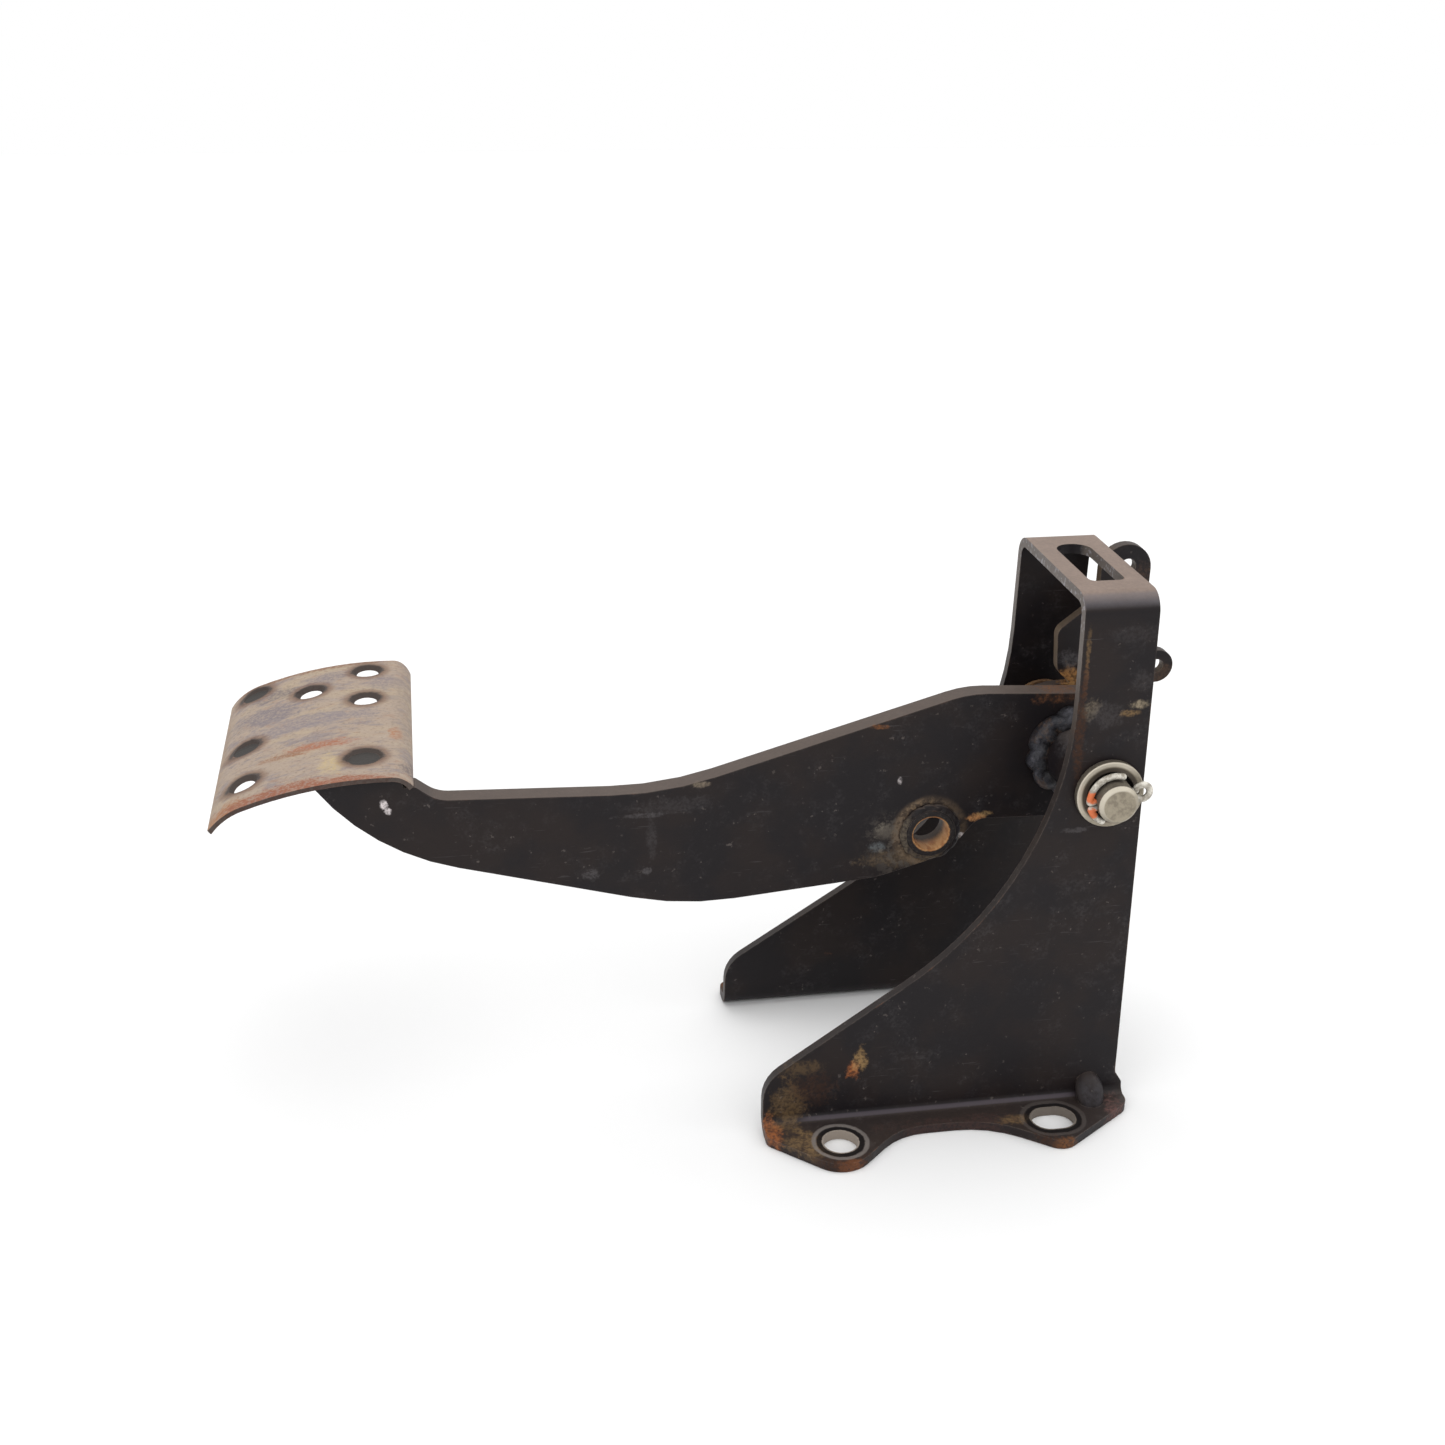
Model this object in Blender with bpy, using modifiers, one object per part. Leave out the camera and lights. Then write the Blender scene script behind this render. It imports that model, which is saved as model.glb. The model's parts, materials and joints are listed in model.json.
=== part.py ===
"""Hanging brake pedal in its floor-standing bracket, modelled in metres.

Frame: the bracket's feet stand on Z = 0 and the bracket is symmetric about Y = 0.
X = 0 is the rear edge of the bracket's side plates, and the arm reaches towards -X.
The pedal turns on a pin along Y.  At rest the pad hangs at its lowest.
"""
import math

import bmesh
import bpy
from mathutils import Matrix, Vector

MM = 0.001
GAP = 0.3 * MM            # play between two pieces that touch

# Bracket: one bent sheet, a top web, two flared side plates and two feet.
SHEET = 3.5 * MM
HEIGHT = 195.0 * MM
TOP_WIDTH = 69.4 * MM     # over the side plates, at the web
FLARE = math.radians(2.35)
WEB_DEPTH = 26.0 * MM     # along X
BEND_TOP = 7.5 * MM       # outside radius of the two top bends
BEND_FOOT = 3.0 * MM      # inside radius of the two foot bends
FOOT_LENGTH = 131.5 * MM  # from the rear edge to the toe
TOE_HEIGHT = 20.1 * MM    # where the side plate's slope would meet its toe
SIDE_CURVE = 125.0 * MM   # radius of the side plates' front curve
SIDE_CURVE_TOP = 158.0 * MM
FOOT_REACH = 30.0 * MM    # how far a foot's lobes reach out from its side plate
FOOT_HEEL = 2.8 * MM      # the foot's overhang behind the rear edge
SLOT_LENGTH = 39.0 * MM
SLOT_WIDTH = 12.6 * MM
SLOT_FRONT = 19.2 * MM    # the slot's front side, ahead of the rear edge
FOOT_HOLE = 12.5 * MM
FOOT_OVAL = 3.5 * MM      # extra length of the rear foot hole
FRONT_HOLE_INSET = 25.2 * MM   # from the toe
REAR_HOLE_X = -27.5 * MM
DART_X = -10.5 * MM       # middle of the pressed dart in a foot's bend
DART_HALF = (5.2 * MM, 3.6 * MM, 8.0 * MM)   # half its width, its height and its slope

# Pivot.
PIVOT_X = -12.9 * MM
PIVOT_Z = 125.0 * MM
PIN_DIAMETER = 14.0 * MM
PIN_HEAD_LIP = 3.0 * MM   # how far the head stands out past the pin
PIN_HEAD_THICK = 4.0 * MM
PIN_OVERHANG = 12.1 * MM  # past the side plate, on the cotter's side
PIN_CHAMFER = 1.2 * MM
WASHER_LIP = 5.0 * MM     # how far the washer stands out past the pin
WASHER_THICK = 3.0 * MM
WASHER_PLAY = 1.3 * MM    # between the washer's bore and the pin
COTTER_WIRE = 2.0 * MM
COTTER_INSET = 5.4 * MM   # from the pin's end to the cotter
COTTER_TILT = math.radians(13.0)

# Hub: bushes on the pin, and the tube round the bushes.
TUBE_WALL = 3.0 * MM
BUSH_WALL = 1.4 * MM
BUSH_LENGTH = 14.0 * MM
BUSH_FLANGE_LIP = 0.6 * MM     # how far the flange stands out past the tube
BUSH_FLANGE_THICK = 1.5 * MM
HUB_WELD_LEG = 6.6 * MM
HUB_WELD_WIDTH = 6.0 * MM

# Arm.
ARM_THICK = 8.0 * MM
ROD_X = -64.7 * MM        # pushrod hole
ROD_Z = 96.0 * MM
ROD_BORE = 13.0 * MM
ROD_BUSH_WALL = 2.5 * MM
ROD_BUSH_PROUD = 2.0 * MM # past each face of the arm
ROD_WELD_LEG = 2.4 * MM

# Lever beside the arm, with two eyes.
LEVER_THICK = 4.0 * MM
LEVER_Y = 16.3 * MM       # its face nearer to the arm
LEVER_WELD_LEG = 4.0 * MM
TOP_EYE_X = 8.2 * MM
TOP_EYE_DROP = 9.3 * MM   # the top eye's middle, below the bracket's top
TOP_EYE_RADIUS = 9.3 * MM
TOP_EYE_HOLE = 6.0 * MM
BACK_EYE = (24.0 * MM, 147.4 * MM)
BACK_EYE_RADIUS = 6.3 * MM
BACK_EYE_HOLE = 5.5 * MM

# Pad plate: a crowned sheet whose two ends roll down.
PAD_SHEET = 1.6 * MM
PAD_WIDTH = 106.2 * MM
PAD_EDGE_Y = -6.7 * MM    # its side nearer to the cotter
PAD_TOP_X = -259.0 * MM   # the crown's highest line
PAD_TOP_Z = 131.9 * MM
PAD_RADIUS = 137.0 * MM
PAD_TOE_TURN = math.radians(19.5)   # where the toe roll starts, from the crown's top
PAD_TOE_ROLL = math.radians(34.5)
PAD_TOE_RADIUS = 23.5 * MM
PAD_HEEL_TURN = math.radians(2.2)
PAD_HEEL_ROLL = math.radians(64.0)
PAD_HEEL_RADIUS = 7.6 * MM
PAD_HOLE = 8.4 * MM       # across a hole at the sheet's underside
PAD_BIG_HOLE = 10.2 * MM
PAD_HOLE_DISH = 1.7 * MM  # how much wider each side of a hole is at the top
PAD_HOLE_FLOOR = 0.5 * MM  # steel left under a closed hole
PAD_TOE_CORNER = 2.5 * MM
PAD_NEAR_HEEL_CORNER = 3.0 * MM
PAD_FAR_HEEL_CORNER = 6.0 * MM
PAD_WELD = 4.0 * MM       # bead diameter

SMALL_STEPS = 24
ROUND_STEPS = 40


# ---------------------------------------------------------------- scene helpers

def start_scene():
    """An empty scene with one collection for the parts and one for the cutters."""
    for thing in list(bpy.data.objects):
        bpy.data.objects.remove(thing, do_unlink=True)
    groups = []
    for name in ("brake_pedal_assembly", "cutters"):
        group = bpy.data.collections.new(name)
        bpy.context.scene.collection.children.link(group)
        groups.append(group)
    return groups


PARTS, CUTTERS = start_scene()


def finish_of(name, colour, roughness, metallic):
    """A plain material with the piece's colour."""
    material = bpy.data.materials.new(name)
    material.use_nodes = True
    shader = material.node_tree.nodes["Principled BSDF"]
    shader.inputs["Base Color"].default_value = (*colour, 1.0)
    shader.inputs["Roughness"].default_value = roughness
    shader.inputs["Metallic"].default_value = metallic
    return material


def keep(piece, material, parent=None):
    """File a finished piece under the parts, in its finish, under its joint's empty."""
    for group in list(piece.users_collection):
        group.objects.unlink(piece)
    PARTS.objects.link(piece)
    piece.data.materials.clear()
    piece.data.materials.append(material)
    if parent is not None:
        piece.parent = parent
        piece.matrix_parent_inverse = parent.matrix_world.inverted()
    return piece


def cutter(piece):
    """File a shape as a cutter, which is never part of the model."""
    for group in list(piece.users_collection):
        group.objects.unlink(piece)
    CUTTERS.objects.link(piece)
    piece.hide_render = True
    piece.display_type = "WIRE"
    return piece


def combine(piece, other, operation):
    """One exact Boolean between a piece and a cutter."""
    step = piece.modifiers.new(other.name, "BOOLEAN")
    step.operation = operation
    step.solver = "EXACT"
    step.object = other


def mesh_object(name, mesh, matrix=Matrix()):
    """A new object in the scene that shows a mesh."""
    piece = bpy.data.objects.new(name, mesh)
    bpy.context.scene.collection.objects.link(piece)
    piece.matrix_world = matrix
    return piece


def curve_to_mesh(curve_object, weld=1e-6):
    """The mesh of an evaluated curve, with its caps welded, in the curve's place."""
    graph = bpy.context.evaluated_depsgraph_get()
    mesh = bpy.data.meshes.new_from_object(curve_object.evaluated_get(graph))
    shape = bmesh.new()
    shape.from_mesh(mesh)
    bmesh.ops.remove_doubles(shape, verts=shape.verts, dist=weld)
    shape.to_mesh(mesh)
    shape.free()
    name = curve_object.name
    matrix = curve_object.matrix_world.copy()
    bpy.data.objects.remove(curve_object, do_unlink=True)
    piece = mesh_object(name, mesh, matrix)
    return piece


def smooth(piece, degrees=35.0):
    """Shade round faces smooth and keep the sharp edges."""
    piece.data.shade_smooth()
    piece.data.set_sharp_from_angle(angle=math.radians(degrees))
    return piece


# ---------------------------------------------------------------- outlines

def arc(centre, radius, start, end, steps):
    """Points on an arc from one angle to another, both ends included."""
    turn = (end - start) / steps
    return [(centre[0] + radius * math.cos(start + turn * i),
             centre[1] + radius * math.sin(start + turn * i)) for i in range(steps + 1)]


def rounded(corners, step=math.radians(12.0), closed=True):
    """A polygon's points with each corner (u, v, radius) turned into an arc.

    A corner's arc starts and ends where a circle of its radius touches both sides.
    """
    points = []
    count = len(corners)
    for index, (u, v, radius) in enumerate(corners):
        here = Vector((u, v))
        at_end = not closed and index in (0, count - 1)
        if radius <= 0.0 or at_end:
            points.append((u, v))
            continue
        before = (Vector(corners[index - 1][:2]) - here).normalized()
        after = (Vector(corners[(index + 1) % count][:2]) - here).normalized()
        half = before.angle(after) / 2.0
        reach = radius / math.tan(half)
        middle = here + (before + after).normalized() * (radius / math.sin(half))
        first = here + before * reach - middle
        turn = first.angle_signed(here + after * reach - middle)
        pieces = max(2, math.ceil(abs(turn) / step))
        for i in range(pieces + 1):
            spoke = Matrix.Rotation(-turn * i / pieces, 2) @ first
            points.append(tuple(middle + spoke))
    return points


# How an outline's (u, v) and its thickness are turned into the world, for each plane.
PLANES = {
    "XY": Matrix.Identity(4),
    "XZ": Matrix(((1, 0, 0, 0), (0, 0, -1, 0), (0, 1, 0, 0), (0, 0, 0, 1))),
    "YZ": Matrix(((0, 0, 1, 0), (1, 0, 0, 0), (0, 1, 0, 0), (0, 0, 0, 1))),
}
NORMAL_SIGN = {"XY": 1.0, "XZ": -1.0, "YZ": 1.0}


def sheet(name, points, plane, low, high):
    """A flat outline with thickness, between two places along the plane's normal."""
    curve = bpy.data.curves.new(name, "CURVE")
    curve.dimensions = "2D"
    curve.fill_mode = "BOTH"
    curve.extrude = abs(high - low) / 2.0
    line = curve.splines.new("POLY")
    line.points.add(len(points) - 1)
    for point, (u, v) in zip(line.points, points):
        point.co = (u, v, 0.0, 1.0)
    line.use_cyclic_u = True
    piece = mesh_object(name, curve)
    middle = Matrix.Translation((0.0, 0.0, NORMAL_SIGN[plane] * (low + high) / 2.0))
    piece.matrix_world = PLANES[plane] @ middle
    bpy.context.view_layer.update()
    return curve_to_mesh(piece)


def turned(name, profile, place, steps=ROUND_STEPS, closed=True):
    """A turned piece: a profile (radius, height) swept round an axis along world Y.

    The profile runs down its outer side and, for a ring, back up its bore.
    Height counts along +Y from the place.
    """
    mesh = bpy.data.meshes.new(name)
    points = [(radius, 0.0, height) for radius, height in profile]
    edges = [(i, i + 1) for i in range(len(points) - 1)]
    if closed:
        edges.append((len(points) - 1, 0))
    mesh.from_pydata(points, edges, [])
    piece = mesh_object(name, mesh)
    screw = piece.modifiers.new("turn", "SCREW")
    screw.axis = "Z"
    screw.steps = steps
    screw.render_steps = steps
    screw.use_merge_vertices = True
    screw.merge_threshold = 0.00001
    screw.use_smooth_shade = True
    upright_to_y = Matrix.Rotation(math.radians(-90.0), 4, "X")
    piece.matrix_world = Matrix.Translation(place) @ upright_to_y
    return piece


def rod_cutter(name, diameter, place, direction, length, steps=ROUND_STEPS):
    """A round cutter of a given length, centred on a place."""
    bpy.ops.mesh.primitive_cylinder_add(vertices=steps, radius=diameter / 2.0, depth=length)
    piece = bpy.context.active_object
    piece.name = name
    aim = Vector(direction).to_track_quat("Z", "Y").to_matrix().to_4x4()
    piece.matrix_world = Matrix.Translation(place) @ aim
    return cutter(piece)


def dish_cutter(name, diameter, place, normal, floor):
    """A cone that cuts a pad hole: its diameter at the underside, wider at the top skin.

    floor is the steel left under the hole, or 0 for a hole right through.
    """
    top = 1.5 * PAD_SHEET
    bottom = floor - PAD_SHEET / 2.0 if floor > 0.0 else -top
    middle = (diameter + PAD_HOLE_DISH) / 2.0
    slope = PAD_HOLE_DISH / PAD_SHEET
    bpy.ops.mesh.primitive_cone_add(vertices=SMALL_STEPS, depth=top - bottom,
                                    radius1=middle + slope * bottom,
                                    radius2=middle + slope * top)
    piece = bpy.context.active_object
    piece.name = name
    aim = Vector(normal).to_track_quat("Z", "Y").to_matrix().to_4x4()
    centre = Vector(place) + Vector(normal).normalized() * (top + bottom) / 2.0
    piece.matrix_world = Matrix.Translation(centre) @ aim
    return cutter(piece)


# ---------------------------------------------------------------- shared places

def plate_y(height):
    """The outer face of the +Y side plate at a height."""
    return TOP_WIDTH / 2.0 + (HEIGHT - height) * math.tan(FLARE)


def plate_inner_y(height):
    """The inner face of the +Y side plate at a height."""
    return plate_y(height) - SHEET / math.cos(FLARE)


PIN_RADIUS = PIN_DIAMETER / 2.0
SLEEVE_RADIUS = PIN_RADIUS + GAP + BUSH_WALL
TUBE_RADIUS = SLEEVE_RADIUS + GAP + TUBE_WALL
HUB_HOLE = 2.0 * (TUBE_RADIUS + GAP)
BUSH_FLANGE_RADIUS = TUBE_RADIUS + BUSH_FLANGE_LIP
BUSH_FACE = plate_inner_y(PIVOT_Z + BUSH_FLANGE_RADIUS) - GAP
TUBE_END = BUSH_FACE - BUSH_FLANGE_THICK - GAP
PIN_END = plate_y(PIVOT_Z) + PIN_OVERHANG
COTTER_Y = -(PIN_END - COTTER_INSET)
COTTER_HALF = COTTER_WIRE / 2.0 + GAP / 2.0     # a leg's middle, off the cotter's own axis
ARM_FACE = ARM_THICK / 2.0
TOP_EYE = (TOP_EYE_X, HEIGHT - TOP_EYE_DROP)
ROD_BUSH_RADIUS = ROD_BORE / 2.0 + ROD_BUSH_WALL
FRONT_HOLE_X = -(FOOT_LENGTH - FRONT_HOLE_INSET)
PAD_CENTRE = Vector((PAD_TOP_X, PAD_TOP_Z - PAD_RADIUS))


def pad_profile(depth):
    """The pad's section, offset inwards from its outer skin by a depth, heel to toe."""
    heel_start = math.radians(90.0) - PAD_HEEL_TURN
    heel_aim = Vector((math.cos(heel_start), math.sin(heel_start)))
    heel_centre = PAD_CENTRE + heel_aim * (PAD_RADIUS - PAD_HEEL_RADIUS)
    toe_start = math.radians(90.0) + PAD_TOE_TURN
    toe_aim = Vector((math.cos(toe_start), math.sin(toe_start)))
    toe_centre = PAD_CENTRE + toe_aim * (PAD_RADIUS - PAD_TOE_RADIUS)
    heel = arc(heel_centre, PAD_HEEL_RADIUS - depth, heel_start - PAD_HEEL_ROLL, heel_start, 8)
    crown = arc(PAD_CENTRE, PAD_RADIUS - depth, heel_start, toe_start, 10)
    toe = arc(toe_centre, PAD_TOE_RADIUS - depth, toe_start, toe_start + PAD_TOE_ROLL, 8)
    return heel + crown[1:-1] + toe


def pad_surface(x, depth):
    """Height of the crown's skin at an X, at a depth below the outer skin."""
    return PAD_CENTRE[1] + math.sqrt((PAD_RADIUS - depth) ** 2 - (x - PAD_CENTRE[0]) ** 2)


PAD_HEEL = pad_profile(0.0)[0]           # end of the heel roll, on the outer skin
PAD_LIP = pad_profile(PAD_SHEET)[0]      # the same on the inner skin
ARM_TOP_DEPTH = PAD_SHEET + GAP          # the arm's end lies just under the pad's sheet


# ---------------------------------------------------------------- bracket

def bracket_section():
    """The bent sheet's section in YZ: foot, side plate, web, side plate, foot."""
    inner_bend = max(BEND_TOP - SHEET, 0.5 * MM)
    outer_foot = BEND_FOOT + SHEET
    tip = plate_y(0.0) + FOOT_REACH + 10.0 * MM
    outside = [(tip, SHEET, 0.0), (plate_y(SHEET), SHEET, BEND_FOOT),
               (TOP_WIDTH / 2.0, HEIGHT, BEND_TOP)]
    inside = [(plate_inner_y(HEIGHT - SHEET), HEIGHT - SHEET, inner_bend),
              (plate_inner_y(0.0), 0.0, outer_foot), (tip, 0.0, 0.0)]
    left = [(-y, z, radius) for y, z, radius in outside]
    right = [(y, z, radius) for y, z, radius in reversed(outside)]
    back_right = [(y, z, radius) for y, z, radius in reversed(inside)]
    back_left = [(-y, z, radius) for y, z, radius in inside]
    return rounded(left + right + back_right + back_left)


def bracket_side():
    """The side plates' outline in XZ: a straight front, a long curve and a sloping toe.

    The slope is the tangent from the toe's corner to the curve.
    """
    front = -WEB_DEPTH
    curve_centre = Vector((front - SIDE_CURVE, SIDE_CURVE_TOP))
    to_toe = Vector((-FOOT_LENGTH, TOE_HEIGHT)) - curve_centre
    toe_angle = math.atan2(to_toe.y, to_toe.x)
    tangent_angle = toe_angle + math.acos(SIDE_CURVE / to_toe.length)
    sweep = arc(curve_centre, SIDE_CURVE, 0.0, tangent_angle, 14)
    over = HEIGHT + 5.0 * MM
    under = -5.0 * MM
    heel_rise = SHEET + BEND_FOOT + 2.0 * MM
    toe = rounded([(*sweep[-1], 0.0), (-FOOT_LENGTH, TOE_HEIGHT, 14.0 * MM),
                   (-FOOT_LENGTH, under, 0.0)], closed=False)
    heel = rounded([(FOOT_HEEL, under, 0.0), (FOOT_HEEL, heel_rise - 1.0 * MM, 2.5 * MM),
                    (0.0, heel_rise + 3.0 * MM, 4.0 * MM), (0.0, over, 0.0)], closed=False)
    return [(front, over)] + sweep[:-1] + toe + heel


def foot_outline():
    """Both feet and all between them, in XY: two lobes and a scallop on each side.

    Every depth counts out from the side plate's face at the floor.
    """
    face = plate_y(0.0)
    reach = FOOT_REACH
    front = FRONT_HOLE_X
    near = [(FOOT_HEEL, -(reach - 23.0 * MM), 6.0 * MM),
            (REAR_HOLE_X, -(reach - 2.6 * MM), 7.0 * MM),
            (REAR_HOLE_X - 23.0 * MM, -(reach - 20.4 * MM), 36.0 * MM),
            (front + 22.9 * MM, -(reach - 20.4 * MM), 24.0 * MM),
            (front - 0.6 * MM, -(reach + 1.2 * MM), 12.0 * MM),
            (-FOOT_LENGTH, -(reach - 21.8 * MM), 4.0 * MM)]
    near = [(x, y - face, radius) for x, y, radius in near]
    far = [(x, -y, radius) for x, y, radius in reversed(near)]
    return rounded(near + far)


def foot_hole(name, x, y, stretch):
    """A cutter for one foot hole, round or stretched along X."""
    radius = FOOT_HOLE / 2.0
    half = stretch / 2.0
    right = arc((x + half, y), radius, -math.pi / 2.0, math.pi / 2.0, 12)
    left = arc((x - half, y), radius, math.pi / 2.0, 1.5 * math.pi, 12)
    outline = right + left
    if half == 0.0:
        outline = right + left[1:-1]
    return cutter(sheet(name, outline, "XY", -5.0 * MM, SHEET + 5.0 * MM))


def corner_dart(name, side):
    """The pressed dart that stiffens a foot's bend near the rear edge."""
    bpy.ops.mesh.primitive_uv_sphere_add(segments=20, ring_count=12, radius=1.0)
    piece = bpy.context.active_object
    piece.name = name
    lean = Matrix.Rotation(side * math.radians(43.0), 4, "X")
    size = Matrix.Diagonal((*DART_HALF, 1.0))
    place = Vector((DART_X, side * (plate_y(SHEET) + BEND_FOOT), SHEET + BEND_FOOT))
    piece.data.transform(Matrix.Translation(place) @ lean @ size)
    return cutter(piece)


def make_bracket(material):
    """The bent sheet, cut to its side and plan outlines, with its slot and holes."""
    piece = sheet("pedal_bracket", bracket_section(), "YZ", -FOOT_LENGTH - 10.0 * MM, 10.0 * MM)
    wide = plate_y(0.0) + FOOT_REACH + 20.0 * MM
    combine(piece, cutter(sheet("cut_side", bracket_side(), "XZ", -wide, wide)), "INTERSECT")
    tall = HEIGHT + 10.0 * MM
    combine(piece, cutter(sheet("cut_plan", foot_outline(), "XY", -10.0 * MM, tall)), "INTERSECT")
    for side in (-1.0, 1.0):
        dart = corner_dart("dart_%d" % side, side)
        combine(piece, dart, "UNION")
    slot_back = -(SLOT_FRONT - SLOT_WIDTH)
    half = SLOT_LENGTH / 2.0
    slot = rounded([(-SLOT_FRONT, -half, 2.5 * MM), (slot_back, -half, 2.5 * MM),
                    (slot_back, half, 6.0 * MM), (-SLOT_FRONT, half, 6.0 * MM)])
    slot_low = HEIGHT - SHEET - 5.0 * MM
    combine(piece, cutter(sheet("cut_slot", slot, "XY", slot_low, tall)), "DIFFERENCE")
    bore = rod_cutter("cut_pivot", PIN_DIAMETER + 2.0 * GAP, (PIVOT_X, 0.0, PIVOT_Z),
                      (0.0, 1.0, 0.0), 2.0 * wide)
    combine(piece, bore, "DIFFERENCE")
    face = plate_y(0.0)
    for side in (-1.0, 1.0):
        front_y = side * (face + FOOT_REACH - 15.7 * MM)
        rear_y = side * (face + FOOT_REACH - 17.7 * MM)
        front = foot_hole("cut_front_%d" % side, FRONT_HOLE_X, front_y, 0.0)
        rear = foot_hole("cut_rear_%d" % side, REAR_HOLE_X, rear_y, FOOT_OVAL)
        combine(piece, front, "DIFFERENCE")
        combine(piece, rear, "DIFFERENCE")
    return keep(smooth(piece), material)


# ---------------------------------------------------------------- pivot

def make_pin(material):
    """The headed pin, with a chamfered end and a cross hole for the cotter."""
    head = PIN_RADIUS + PIN_HEAD_LIP
    head_face = plate_y(PIVOT_Z - head) + GAP
    edge = 0.8 * MM
    top = head_face + PIN_HEAD_THICK
    profile = [(0.0, top), (head - edge, top), (head, top - edge), (head, head_face),
               (PIN_RADIUS, head_face), (PIN_RADIUS, -PIN_END + PIN_CHAMFER),
               (PIN_RADIUS - PIN_CHAMFER, -PIN_END), (0.0, -PIN_END)]
    piece = turned("pivot_pin", profile, (PIVOT_X, 0.0, PIVOT_Z), closed=False)
    along = (math.cos(COTTER_TILT), 0.0, math.sin(COTTER_TILT))
    hole = 2.0 * (COTTER_HALF + COTTER_WIRE / 2.0 + GAP)
    cross = rod_cutter("cut_cotter", hole, (PIVOT_X, COTTER_Y, PIVOT_Z), along,
                       2.0 * PIN_DIAMETER, SMALL_STEPS)
    combine(piece, cross, "DIFFERENCE")
    return keep(piece, material)


def ring(name, inner, outer, low, high, place, steps=ROUND_STEPS, edge=0.3 * MM):
    """A flat ring round an axis along Y, with lightly broken outer edges."""
    profile = [(inner, high), (outer - edge, high), (outer, high - edge), (outer, low + edge),
               (outer - edge, low), (inner, low)]
    return turned(name, profile, place, steps)


def make_washer(material):
    """The washer under the cotter, lying flat on the flared side plate."""
    middle = plate_y(PIVOT_Z) + (GAP + WASHER_THICK / 2.0) / math.cos(FLARE)
    half = WASHER_THICK / 2.0
    bore = PIN_RADIUS + WASHER_PLAY + WASHER_THICK * math.tan(FLARE)
    piece = ring("pin_washer", bore, PIN_RADIUS + WASHER_LIP, -half, half, (0.0, 0.0, 0.0))
    place = Matrix.Translation((PIVOT_X, -middle, PIVOT_Z))
    piece.matrix_world = place @ Matrix.Rotation(-FLARE, 4, "X") @ piece.matrix_world
    return keep(piece, material)


def cotter_path():
    """The cotter's wire in its own plane: leg, shank, eye, shank, leg.

    The shank runs along the first axis.  Both legs turn along the pin's rim.
    """
    leg_radius = PIN_RADIUS + GAP + COTTER_WIRE / 2.0 + 0.6 * MM
    eye_radius = 2.3 * MM
    eye_x = PIN_RADIUS + 3.4 * MM
    eye_half = math.asin(COTTER_HALF / eye_radius)
    bend = 1.5 * MM
    turn = math.asin(COTTER_HALF / leg_radius) + bend / leg_radius
    long_leg = arc((0.0, 0.0), leg_radius, math.radians(52.0), math.pi - turn, 12)
    short_leg = arc((0.0, 0.0), leg_radius, math.pi + turn, math.radians(236.0), 6)
    corner = -math.sqrt(leg_radius ** 2 - COTTER_HALF ** 2)
    upper = rounded([(*long_leg[-1], 0.0), (corner, COTTER_HALF, 0.9 * MM),
                     (0.0, COTTER_HALF, 0.0)], closed=False)
    lower = rounded([(0.0, -COTTER_HALF, 0.0), (corner, -COTTER_HALF, 0.9 * MM),
                     (*short_leg[0], 0.0)], closed=False)
    eye = arc((eye_x, 0.0), eye_radius, math.pi - eye_half, -math.pi + eye_half, 16)
    return long_leg[:-1] + upper + eye + lower + short_leg[1:]


def wire(name, points, radius, resolution=2):
    """A round wire along 3-D points, with closed ends."""
    curve = bpy.data.curves.new(name, "CURVE")
    curve.dimensions = "3D"
    curve.bevel_depth = radius
    curve.bevel_resolution = resolution
    curve.use_fill_caps = True
    line = curve.splines.new("POLY")
    line.points.add(len(points) - 1)
    for point, place in zip(line.points, points):
        point.co = (*place, 1.0)
    piece = mesh_object(name, curve)
    bpy.context.view_layer.update()
    return curve_to_mesh(piece)


def make_cotter(material):
    """The split pin: one wire folded at its eye, its legs spread round the pivot pin."""
    cosine = math.cos(COTTER_TILT)
    sine = math.sin(COTTER_TILT)
    points = [(PIVOT_X + u * cosine - v * sine, COTTER_Y, PIVOT_Z + u * sine + v * cosine)
              for u, v in cotter_path()]
    piece = wire("cotter_pin", points, COTTER_WIRE / 2.0)
    return keep(smooth(piece, 50.0), material)


# ---------------------------------------------------------------- hub

def make_tube(material, pedal):
    """The hub tube between the side plates."""
    inner = TUBE_RADIUS - TUBE_WALL
    piece = ring("hub_tube", inner, TUBE_RADIUS, -TUBE_END, TUBE_END,
                 (PIVOT_X, 0.0, PIVOT_Z), edge=0.6 * MM)
    return keep(piece, material, pedal)


def make_bush(name, side, material, pedal):
    """A flanged bush in one end of the hub tube."""
    bore = PIN_RADIUS + GAP
    flange = BUSH_FLANGE_RADIUS
    shoulder = BUSH_FACE - BUSH_FLANGE_THICK
    profile = [(bore, BUSH_FACE), (flange, BUSH_FACE), (flange, shoulder),
               (SLEEVE_RADIUS, shoulder), (SLEEVE_RADIUS, shoulder - BUSH_LENGTH),
               (bore, shoulder - BUSH_LENGTH)]
    if side < 0.0:
        profile = [(radius, -height) for radius, height in reversed(profile)]
    piece = turned(name, profile, (PIVOT_X, 0.0, PIVOT_Z))
    return keep(piece, material, pedal)


def weld_ring(name, tube_radius, leg, width, face, side, place, material, pedal):
    """A fillet weld round a tube, against a flat face, with a slightly full surface."""
    inner = tube_radius + GAP
    foot = face + side * GAP
    outer = tube_radius + leg
    crest = foot + side * width
    middle = (inner + 0.58 * (outer - inner), foot + side * 0.58 * width)
    profile = [(inner, crest), (inner + 0.12 * leg, crest), middle,
               (outer, foot + side * 0.12 * width), (outer, foot), (inner, foot)]
    if side < 0.0:
        profile = profile[::-1]
    piece = turned(name, profile, place, 36)
    return keep(piece, material, pedal)


# ---------------------------------------------------------------- arm and lever

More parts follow.
